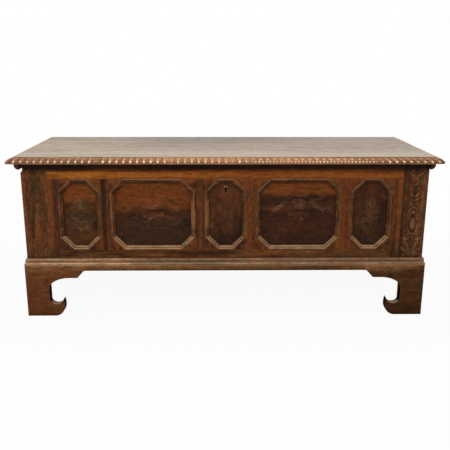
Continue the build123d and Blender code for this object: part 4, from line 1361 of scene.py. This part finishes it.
# ------------------------------------------------------------------ mouldings
@dataclass
class PanelMouldings:
    """Eight mitred strips round each panel: ridge, ovolo, step, ovolo. Sizes in metres."""

    width: float = 15.0 * MM
    height: float = 17.0 * MM
    ridge: float = 4.0 * MM
    step: float = 9.0 * MM
    step_height: float = 11.5 * MM
    fillet: float = 1.2 * MM
    lip: float = 4.0 * MM
    gap: float = 0.3 * MM
    worn_away: float = 0.3 * MM
    stations: int = 40
    seed: int = 71

    def section(self) -> tuple[np.ndarray, ...]:
        """The strip's section.

        Returns:
            Points (inward, outward) in metres, how exposed to wear each is, how far
            each faces inward, from the slope between its neighbours, and how far
            each lies on the inner half.
        """
        radii = (self.step - self.fillet - self.ridge, self.height - self.step_height)
        upper = quarter((self.ridge, self.step_height), radii, 90.0, 6)
        radii = (self.width - self.step, self.step_height - self.fillet - self.lip)
        lower = quarter((self.step, self.lip), radii, 90.0, 7)
        start = np.array([[0.0, 0.0], [0.0, self.height - MM], [0.35 * MM, self.height - 0.3 * MM],
                          [MM, self.height]])
        shelf = np.array([[self.step, self.step_height]])
        end = np.array([[self.width, 0.0]])
        loop = np.concatenate([start, upper, shelf, lower, end])
        crest = np.zeros(len(loop))
        crest[2:6] = 1.0
        crest[len(start) + len(upper):len(start) + len(upper) + 2] = 0.8
        slope = np.roll(loop, -1, axis=0) - np.roll(loop, 1, axis=0)
        facing = -slope[:, 1] / np.linalg.norm(slope, axis=1)
        groove = len(start) + len(upper)
        facing[groove - 1:groove + 2] *= (0.3, -0.4, 0.9)
        facing[:2] = -1.0
        facing[-2:] = 0.85
        inner = smooth_step(loop[:, 0], 0.35 * self.ridge, 0.7 * self.step)
        return loop, crest, facing, inner

    def ring(self, number: int) -> bpy.types.Object:
        """All eight strips round one panel as one object.

        One stored value is how far a point faces up: the inward facing of the section times the
        upward part of the strip's inward direction; it tints dust on the ledges and a painted
        highlight where light from above falls. Another is the inner half of the strips that don't
        face up, tinted with some soot and painted shade where light from above doesn't reach. The
        crests' worn tint is kept weaker on the top strip, which faces down, as painted shade.
        """
        low, high = node_box(f"panel_moulding_{number}")
        middle, half = (low + high) / 2, (high - low) / 2
        w, h, cut = half[0], half[2], OCTAGON_CUT
        corners = np.array([(cut - w, -h), (w - cut, -h), (w, cut - h), (w, h - cut), (w - cut, h),
                            (cut - w, h), (-w, h - cut), (-w, cut - h)])
        loop, crest, facing, inner = self.section()
        points, polygons, worn, ledge, soot = [], [], [], [], []
        for side in range(8):
            start, end = corners[side], corners[(side + 1) % 8]
            length = np.linalg.norm(end - start)
            along = (end - start) / length
            inward = np.array([-along[1], along[0]])
            share = np.linspace(0.0, 1.0, self.stations)[:, None]
            slack = loop[None, :, 0] * np.tan(np.radians(OCTAGON_TURN)) + self.gap / 2
            run = slack + share * (length - 2 * slack)
            wander = value_noise(run * 1.0, loop[None, :, 0] + side, 0.03, 80 + number)
            rise = loop[None, :, 1] - self.worn_away * crest * (1.0 + wander)
            flat = start[None, None, :] + run[..., None] * along + loop[None, :, 0, None] * inward
            x, z = middle[0] + flat[..., 0], middle[2] + flat[..., 1]
            grid = np.stack([x, high[1] - rise, z], -1)
            polygons += tube_polygons(self.stations, len(loop), len(loop) * self.stations * side)
            points.append(grid.reshape(-1, 3))
            spared_and_shaded = 1.0 - 0.6 * max(-inward[1], 0.0)
            worn.append(np.clip(crest * (0.7 + 0.5 * wander) * spared_and_shaded, 0, 1).ravel())
            ledge.append(np.clip(facing * inward[1] * (0.95 + 0.15 * wander), 0, 1).ravel())
            shaded_side = np.clip(1.0 - 1.8 * inward[1], 0, 1) * (0.9 + 0.25 * wander)
            soot.append(np.clip(inner * shaded_side, 0, 1).ravel())
        return build_mesh(f"octagon_moulding_{number}", np.concatenate(points), polygons,
                          {"worn": np.concatenate(worn), "ledge": np.concatenate(ledge),
                           "soot": np.concatenate(soot)}, smooth_angle=0.9)

    def build(self) -> None:
        """Makes and dresses the five rings."""
        rubbed = {1: 0.3, 2: 0.5, 3: 0.4, 4: 0.4, 5: 0.35}
        for number, strength in rubbed.items():
            piece = self.ring(number)
            low, high = node_box(f"panel_moulding_{number}")
            level = (low[2] + high[2]) / 2
            # Painted light on the rings: shade on the inner half of the side and top strips, a
            # highlight on the upward faces, and crests that are partly worn and partly highlight.
            layers = (AttributeTint("soot", (42, 24, 13), 0.2, 0.4),
                      AttributeTint("worn", (142, 96, 58), strength, 0.6),
                      AttributeTint("ledge", (206, 164, 122), 0.72, 0.2))
            if number in (2, 3):
                edge = high[0] - 7 * MM if number == 2 else low[0] + 5 * MM
                layers += (Patch((edge, high[1], level), (13 * MM, 60 * MM, 75 * MM), (138, 92, 56),
                                 0.55, 0.3),)
            fit_new(piece, f"panel_moulding_{number}", "carcase",
                    MOULDING.material(piece.name, self.seed + number, Grain.LENGTH, layers))


@dataclass
class PlinthMoulding:
    """The mitred moulding round the foot of the box. Sizes in metres."""

    fascia: float = 8.0 * MM
    bead: float = 2.0 * MM
    shelf: float = 4.5 * MM
    cove_top: float = 18.5 * MM
    fillet_top: float = 23.5 * MM
    worn_away: float = 0.3 * MM
    step: float = 12.0 * MM
    seed: int = 101

    def section(self, reach: float, height: float) -> tuple[np.ndarray, np.ndarray]:
        """Fascia, bead, cove, fillet and small ovolo as (reach, rise) points, and their wear, which
        also places painted highlights.
        """
        nose = np.array([[0.0, 0.0], [reach, 0.0], [reach, 1.8 * MM], [reach, 4.0 * MM]])
        bead = quarter((reach - self.bead, self.fascia), (self.bead, self.bead), 90.0, 4)[::-1]
        radii = (reach - self.bead - self.shelf, self.cove_top - self.fascia - self.bead)
        cove = quarter((reach - self.bead, self.cove_top), radii, 270.0, 6)
        radii = (self.shelf, height - self.fillet_top)
        ovolo = quarter((0.0, self.fillet_top), radii, 90.0, 6)[::-1]
        loop = np.concatenate([nose, bead, cove[1:], ovolo])
        crest = np.zeros(len(loop))
        crest[2] = 0.6
        crest[4:8] = 1.0
        crest[-6:-2] = 0.45
        return loop, crest

    def strip(self, node: str, side: Optional[Side]) -> bpy.types.Object:
        """One length of the moulding; side is None for the front."""
        low, high = node_box(node)
        front_low, front_high = node_box("plinth_moulding_front")
        reach, height = front_high[1] - front_low[1], high[2] - low[2]
        loop, crest = self.section(reach, height)
        span = high[0] - low[0] if side is None else high[1] - low[1]
        share = np.linspace(0.0, 1.0, int(span / self.step))[:, None]
        out = loop[None, :, 0]
        wander = value_noise(share * span + out * 0, out * 0 + loop[None, :, 1], 0.05, 90)
        rise = np.minimum(loop[None, :, 1] - self.worn_away * crest * (1 + wander), height)
        if side is None:
            half = span / 2 - reach + out
            x, y = (2 * share - 1) * half, high[1] - out + 0 * share
        else:
            y = low[1] + (reach - out) + share * (span - reach + out)
            inner = low[0] if side is Side.RIGHT else high[0]
            x = side.value * (high[0] - low[0] - reach + out) + inner + 0 * share
        points = np.stack([x, y, low[2] + rise + 0 * share], -1)
        name = "plinth_strip_" + ("front" if side is None else side.label)
        return build_mesh(name, points.reshape(-1, 3), tube_polygons(len(share), len(loop)),
                          {"worn": np.clip(crest * (0.8 + 0.4 * wander), 0, 1)}, smooth_angle=0.7)

    def build(self) -> None:
        """Makes and dresses the three lengths."""
        for number, side in enumerate((None, Side.LEFT, Side.RIGHT)):
            node = "plinth_moulding_" + ("front" if side is None else side.label)
            piece = self.strip(node, side)
            grain = Grain.LENGTH if side is None else Grain.DEPTH
            # The pale worn tint is partly wear and partly a painted highlight on the bead, the
            # ovolo and the fascia's foot.
            layers = (AttributeTint("worn", (214, 178, 140), 0.8, 0.4),
                      Shade(Axis.X, -0.45, -0.25, (84, 56, 35), 0.52, 0.04))
            fit_new(piece, node, "carcase",
                    PLINTH.material(piece.name, self.seed + number, grain, layers))


# ------------------------------------------------------------------ box and base
@dataclass
class Box:
    """The framed front, the end boards, the back and the floor. Sizes in metres."""

    bevel: float = 0.7 * MM
    spandrel_bevel: float = 0.5 * MM
    rail_seed: int = 111
    stile_seed: int = 113
    muntin_seed: int = 117
    spandrel_seed: int = 124
    side_seed: int = 131
    poplar_seed: int = 134

    def rails(self) -> None:
        """Dresses the orange top rail and the browner bottom rail."""
        low = node_box("front_top_rail")[0][2]
        # Painted light on the top rail: lighter towards its foot, where the lid shades it less, and
        # a painted shadow of the lid along its top.
        top = (Shade(Axis.Z, low + 34 * MM, low + 24 * MM, (156, 92, 30), 0.5, 0.004),
               Shade(Axis.X, -0.5, 0.1, (96, 44, 16), 0.5, 0.05),
               Blotches((84, 42, 16), (3.0, 4.0, 26.0), 0.55, 0.1, 0.5),
               Blotches((74, 36, 14), (6.0, 4.0, 60.0), 0.52, 0.1, 0.5, (4.0, 0.0, 9.0)),
               Shade(Axis.Z, low + 9 * MM, low, (86, 46, 20), 0.6, 0.002), UNDER_LID_SHADOW_AND_GRIME)
        dress("front_top_rail", RAIL.material("top_rail", self.rail_seed, Grain.LENGTH, top),
              self.bevel)
        bottom = rub_edges("front_bottom_rail", (116, 79, 38), 0.4) + (
            Blotches((104, 70, 34), (2.5, 4.0, 30.0), 0.47, 0.12, 0.42, (2.0, 0.0, 0.0)),
            Shade(Axis.X, 0.15, 0.45, (62, 36, 20), 0.3, 0.04),
            Blotches((56, 31, 16), (2.0, 4.0, 34.0), 0.52, 0.14, 0.45))
        dress("front_bottom_rail",
              FRAME.material("bottom_rail", self.rail_seed + 1, Grain.LENGTH, bottom), self.bevel)

    def stiles(self) -> None:
        """Dresses the two stiles, redder beside the pilasters and sooty at the foot."""
        for number, side in enumerate(Side):
            node = f"front_stile_{side.label}"
            outer = (node_box(node)[0] if side is Side.LEFT else node_box(node)[1])[0]
            inward = -side.value * MM
            start, end = outer + 19 * inward, outer + 13 * inward
            layers = rub_edges(node, (94, 57, 27), 0.35) + (
                Shade(Axis.Z, 0.5, 0.42, (62, 34, 17), 0.4, 0.03),
                Shade(Axis.X, start, end, (100, 55, 25), 0.75, 0.0015),
                Shade(Axis.Z, 0.31, 0.25, (36, 25, 15), 0.6, 0.01))
            dress(node, FRAME.material(node, self.stile_seed + number, Grain.HEIGHT, layers),
                  self.bevel)

    def muntins(self) -> None:
        """Dresses the muntins: a tone on the right, and a tone on the left or a dark joint."""
        tones = {1: ((44, 22, 12), (78, 42, 24)),
                 2: (None, (80, 46, 26)),
                 3: ((92, 50, 22), (76, 43, 20)),
                 4: ((92, 47, 18), (82, 43, 17))}
        for number, (left_tone, right_tone) in tones.items():
            node = f"muntin_{number}"
            left, right = (corner[0] for corner in node_box(node))
            detail = Shade(Axis.X, right - 4 * MM, right - 2 * MM, (34, 18, 12), 0.8, 0.001)
            if left_tone:
                detail = Shade(Axis.X, left + 18 * MM, left + 14 * MM, left_tone, 0.85, 0.002)
            layers = (Shade(Axis.X, left, right, right_tone, 0.7, 0.002), detail)
            dress(node, FRAME.material(node, self.muntin_seed + number, Grain.HEIGHT, layers),
                  self.bevel)

    def spandrels(self) -> None:
        """Dresses the corner pieces and fillers round each octagon, some lighter on one side, the
        first with painted shade on its left side.
        """
        # The dark left side of the first is painted shade; the other side tones are lighter wood.
        tones = {1: ((Side.LEFT, (57, 32, 22), 0.7), (Side.RIGHT, (96, 52, 20), 0.6)),
                 4: ((Side.RIGHT, (96, 52, 20), 0.6), (Side.LEFT, (96, 50, 19), 0.6)),
                 5: ((Side.LEFT, (96, 50, 19), 0.6),)}
        for number in PANEL_TONES:
            node = f"spandrels_{number}"
            low, high = node_box(node)
            layers = (Blotches((60, 33, 16), (20.0, 20.0, 20.0), 0.52, 0.15, 0.3,
                               (number * 1.0, 0.0, 0.0)),
                      Blotches((106, 60, 30), (24.0, 24.0, 24.0), 0.45, 0.15, 0.5,
                               (0.0, number * 2.0, 0.0)),
                      Shade(Axis.Z, high[2] - 26 * MM, high[2], (122, 68, 30), 0.5, 0.004))
            for side, tone, strength in tones.get(number, ()):
                outer = low[0] if side is Side.LEFT else high[0]
                start = outer - side.value * 40 * MM
                layers += (Shade(Axis.X, start, outer, tone, strength, 0.004),)
            dress(node, FRAME.material(node, self.spandrel_seed + number, Grain.HEIGHT, layers),
                  self.spandrel_bevel)

    def rest(self) -> None:
        """Dresses the end boards, the back board, the floor and its ledgers."""
        for number, side in enumerate(Side):
            node = f"side_board_{side.label}"
            dress(node, CASE.material(node, self.side_seed + number, Grain.DEPTH, rub_edges(node)),
                  self.bevel)
        for number, node in enumerate(("back_board", "floor_boards", "floor_ledgers")):
            dress(node, POPLAR.material(node, self.poplar_seed + number, Grain.LENGTH), self.bevel)

    def build(self) -> None:
        """Dresses the whole box."""
        self.rails()
        self.stiles()
        self.muntins()
        self.spandrels()
        self.rest()


@dataclass
class Base:
    """Base rails, hooked bracket feet and the blocks behind them. Sizes in metres."""

    bevel: float = 1.2 * MM
    foot_seed: int = 141
    rail_seed: int = 155
    poplar_seed: int = 157

    def build(self) -> None:
        """Dresses every piece of the base."""
        top = node_box("base_rail_front")[1][2]
        soot = Shade(Axis.Z, 0.06, -0.02, (42, 24, 15), 0.6, 0.02)
        # A pale band just under the plinth moulding: a painted highlight on the top arris of the
        # feet and rails.
        under = Shade(Axis.Z, top - 4 * MM, top - 1 * MM, (172, 126, 80), 0.55, 0.0008)
        for number, side in enumerate(Side):
            tone = (57, 35, 22) if side is Side.RIGHT else (92, 53, 31)
            for kind, grain in (("foot_front", Grain.LENGTH), ("foot_return", Grain.DEPTH),
                                ("foot_rear", Grain.DEPTH), ("base_rail", Grain.DEPTH)):
                node = f"{kind}_{side.label}"
                layers = (Shade(Axis.Z, top - 6 * MM, top - 36 * MM, tone, 0.8, 0.008),
                          Blotches((56, 29, 16), (5.0, 5.0, 12.0), 0.5, 0.14, 0.45,
                                   (number * 3.0, 0.0, 1.0)),
                          soot, under)
                if kind == "foot_front":
                    # Painted shade on the faces that look along X, and a painted highlight on the
                    # upward faces of the hooks.
                    layers += (FacingTint(Axis.X, 0, (22, 15, 10), 0.9),
                               FacingTint(Axis.Z, 1, (176, 146, 120), 0.7))
                seed = self.foot_seed + 5 * number + len(kind)
                dress(node, BASE.material(node, seed, grain, layers), self.bevel)
        low = node_box("base_rail_front")[0][2]
        layers = (under, Shade(Axis.X, -0.35, -0.05, (70, 45, 26), 0.4, 0.03),
                  Shade(Axis.Z, low + 14 * MM, low + 4 * MM, (56, 35, 21), 0.6, 0.002))
        dress("base_rail_front",
              BASE.material("base_rail_front", self.rail_seed, Grain.LENGTH, layers), self.bevel)
        for number, node in enumerate(("base_rail_back", "foot_blocks")):
            grain = Grain.HEIGHT if node == "foot_blocks" else Grain.LENGTH
            dress(node, POPLAR.material(node, self.poplar_seed + number, grain), self.bevel)


@dataclass
class Ironwork:
    """Hinges, lock and their nails. Sizes in metres.

    The leaf's margins keep its nails off its sides, its foot and its knuckles, the
    strap's keep them off its two ends.
    """

    nail_radius: float = 4.2 * MM
    nail_rise: float = 1.8 * MM
    leaf_thickness: float = 3.0 * MM
    leaf_margins: Triple = (11.0 * MM, 10.0 * MM, 28.0 * MM)
    strap_margins: Pair = (9.0 * MM, 30.0 * MM)
    strap_nails: int = 5
    bevel: float = 0.4 * MM
    seed: int = 161
    nail_seed: int = 170

    def nail_heads(self, name: str, seats: np.ndarray, out: Triple, body: str) -> None:
        """Rose-headed nails as one object.

        Each head is a dome of revolution: its height falls as 1 minus the squared
        radius, and four hammered facets add a small cosine of the angle.

        Args:
            name: the object's name.
            seats: where each nail sits, shape (n, 3).
            out: the way the heads point.
            body: the body that they ride on.
        """
        radius, angle = np.linspace(1.0, 0.12, 5), np.linspace(0, 2 * np.pi, 12, endpoint=False)
        r, a = np.meshgrid(radius, angle, indexing="ij")
        rise = self.nail_rise * (1.0 - r**2 * (1.0 - 0.12 * np.cos(4 * a)))
        rise[0] = -0.4 * MM
        axis = Vector(out)
        turn = np.array(axis.to_track_quat("Z", "Y").to_matrix())
        reach = self.nail_radius * r
        flat = np.stack([reach * np.cos(a), reach * np.sin(a), rise], -1)
        local = flat.reshape(-1, 3) @ turn.T
        points = (seats[:, None, :] + local[None]).reshape(-1, 3)
        polygons = []
        for number in range(len(seats)):
            polygons += tube_polygons(len(radius), len(angle), number * local.shape[0])
        piece = build_mesh(name, points, polygons)
        piece.data.materials.append(IRON.material(name, self.nail_seed + len(name)))
        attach(piece, body)
        log.info("built %s", name)

    def build(self) -> None:
        """Dresses the ironwork and adds its nails."""
        names = ["hinge_pins", "lock_case", "lock_staple", "lock_bolt"]
        names += [f"hinge_{kind}_{side.label}" for kind in ("strap", "leaf") for side in Side]
        for number, node in enumerate(names):
            dress(node, IRON.material(node, self.seed + number), self.bevel)
        face = node_box("back_board")[1][1] + self.leaf_thickness
        under = node_box("lid_plank_back")[0][2]
        beside, foot, knuckle = self.leaf_margins
        for side in Side:
            low, high = node_box(f"hinge_leaf_{side.label}")
            x, z = np.meshgrid(np.linspace(low[0] + beside, high[0] - beside, 2),
                               np.linspace(low[2] + foot, high[2] - knuckle, 3))
            seats = np.stack([x.ravel(), np.full(x.size, face), z.ravel()], -1)
            self.nail_heads(f"leaf_nails_{side.label}", seats, (0, 1, 0), "carcase")
            low, high = node_box(f"hinge_strap_{side.label}")
            front, back = low[1] + self.strap_margins[0], high[1] - self.strap_margins[1]
            y = np.linspace(front, back, self.strap_nails)
            middle = np.full(y.size, (low[0] + high[0]) / 2)
            seats = np.stack([middle, y, np.full(y.size, under)], -1)
            self.nail_heads(f"strap_nails_{side.label}", seats, (0, 0, -1), "lid")


# ------------------------------------------------------------------ studio
@dataclass
class Studio:
    """White floor, soft lights and the camera.

    Sizes are in metres, angles in degrees, lens and sensor in millimetres.
    """

    floor_half: float = 14.0
    floor_white: Pair = (0.94, 1.0)
    floor_fade: Pair = (0.9, 2.6)
    ambient: float = 0.26
    lens: float = 50.4
    sensor: float = 36.0
    eye: Triple = (-0.041, -2.646, 1.0259)
    pitch: float = 15.21
    yaw: float = -0.917
    roll: float = 0.126

    def floor(self) -> None:
        """A pale floor that shows almost white to the camera and keeps a soft shadow.

        The white share rises with the distance from the object, so that the floor
        meets the backdrop without a line.
        """
        half = self.floor_half
        corners = np.array([(-half, -half, 0), (half, -half, 0), (half, half, 0), (-half, half, 0)],
                           float)
        plane = build_mesh("studio_floor", corners, [np.array([[0, 1, 2, 3]])])
        graph = Graph("studio_floor")
        graph.feed(graph.shader.inputs["Base Color"], (0.6, 0.6, 0.6, 1.0))
        graph.feed(graph.shader.inputs["Roughness"], 0.9)
        graph.feed(graph.shader.inputs["Specular IOR Level"], 0.0)
        glow = graph.node("ShaderNodeEmission")
        graph.feed(glow.inputs["Strength"], 1.0)
        rays = graph.node("ShaderNodeLightPath").outputs
        seen = graph.math("MAXIMUM",
                          graph.math("MAXIMUM", rays["Is Camera Ray"], rays["Is Glossy Ray"]),
                          rays["Is Transmission Ray"])
        blend = graph.node("ShaderNodeMixShader")
        x, y = graph.axes()[:2]
        squares = [graph.math("MULTIPLY", value, value) for value in (x, y)]
        away = graph.math("SQRT", graph.math("ADD", *squares))
        white = graph.span(away, *self.floor_fade, *self.floor_white)
        graph.feed(blend.inputs[0], graph.math("MULTIPLY", seen, white))
        graph.feed(blend.inputs[1], graph.shader.outputs[0])
        graph.feed(blend.inputs[2], glow.outputs[0])
        graph.feed(graph.output.inputs["Surface"], blend.outputs[0])
        plane.data.materials.append(graph.material)

    def world(self) -> None:
        """White where the camera, gloss or glass sees it, dimmer as a light."""
        world = bpy.data.worlds.new("studio")
        world.use_nodes = True
        tree = world.node_tree
        tree.nodes.clear()
        output = tree.nodes.new("ShaderNodeOutputWorld")
        back = tree.nodes.new("ShaderNodeBackground")
        back.inputs["Color"].default_value = (1.0, 1.0, 1.0, 1.0)
        rays = tree.nodes.new("ShaderNodeLightPath")
        seen = rays.outputs["Is Camera Ray"]
        for key in ("Is Glossy Ray", "Is Transmission Ray"):
            either = tree.nodes.new("ShaderNodeMath")
            either.operation = "MAXIMUM"
            tree.links.new(seen, either.inputs[0])
            tree.links.new(rays.outputs[key], either.inputs[1])
            seen = either.outputs[0]
        level = tree.nodes.new("ShaderNodeMapRange")
        tree.links.new(seen, level.inputs[0])
        level.inputs["To Min"].default_value = self.ambient
        tree.links.new(level.outputs[0], back.inputs["Strength"])
        tree.links.new(back.outputs[0], output.inputs["Surface"])
        bpy.context.scene.world = world

    def lamp(self, name: str, place: Triple, aim: Triple, size: Pair, power: float) -> None:
        """Adds a rectangular area lamp at place, pointed at aim."""
        data = bpy.data.lights.new(name, "AREA")
        data.shape = "RECTANGLE"
        data.size, data.size_y = size
        data.energy = power
        lamp = bpy.data.objects.new(name, data)
        bpy.context.collection.objects.link(lamp)
        lamp.location = place
        lamp.rotation_euler = (Vector(aim) - Vector(place)).to_track_quat("-Z", "Y").to_euler()

    def camera(self) -> None:
        """A camera a little left of the middle, looking slightly down."""
        data = bpy.data.cameras.new("camera")
        data.lens = self.lens
        data.sensor_width = self.sensor
        data.dof.use_dof = False
        camera = bpy.data.objects.new("camera", data)
        bpy.context.collection.objects.link(camera)
        turn = (Matrix.Rotation(np.radians(self.yaw), 4, "Z")
                @ Matrix.Rotation(np.radians(90.0 - self.pitch), 4, "X")
                @ Matrix.Rotation(np.radians(self.roll), 4, "Z"))
        camera.matrix_world = Matrix.Translation(self.eye) @ turn
        bpy.context.scene.camera = camera

    def build(self) -> None:
        """Sets the stage, the lights and the camera."""
        self.floor()
        self.world()
        self.camera()
        self.lamp("key", (-0.6, -4.1, 3.4), (0.0, -0.1, 0.4), (2.0, 1.4), 150.0)
        self.lamp("overhead", (0.0, 0.2, 3.4), (0.0, 0.0, 0.5), (3.2, 2.0), 80.0)
        self.lamp("fill_left", (-4.0, -1.5, 1.6), (0.0, 0.0, 0.4), (1.6, 1.6), 25.0)
        self.lamp("fill_right", (4.0, -1.0, 1.6), (0.0, 0.0, 0.4), (1.6, 1.6), 25.0)
        bpy.context.scene.view_settings.view_transform = "Standard"


def main() -> None:
    """Builds and dresses the chest, piece by piece."""
    logging.basicConfig(level=logging.INFO, format="%(name)s: %(message)s")
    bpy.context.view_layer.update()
    Studio().build()
    for section in (Lid(), Pilasters(), Panels(), PanelMouldings(), PlinthMoulding(), Box(), Base(),
                    Ironwork()):
        section.build()
        log.info("finished %s", type(section).__name__)


if __name__ == "__main__":
    main()
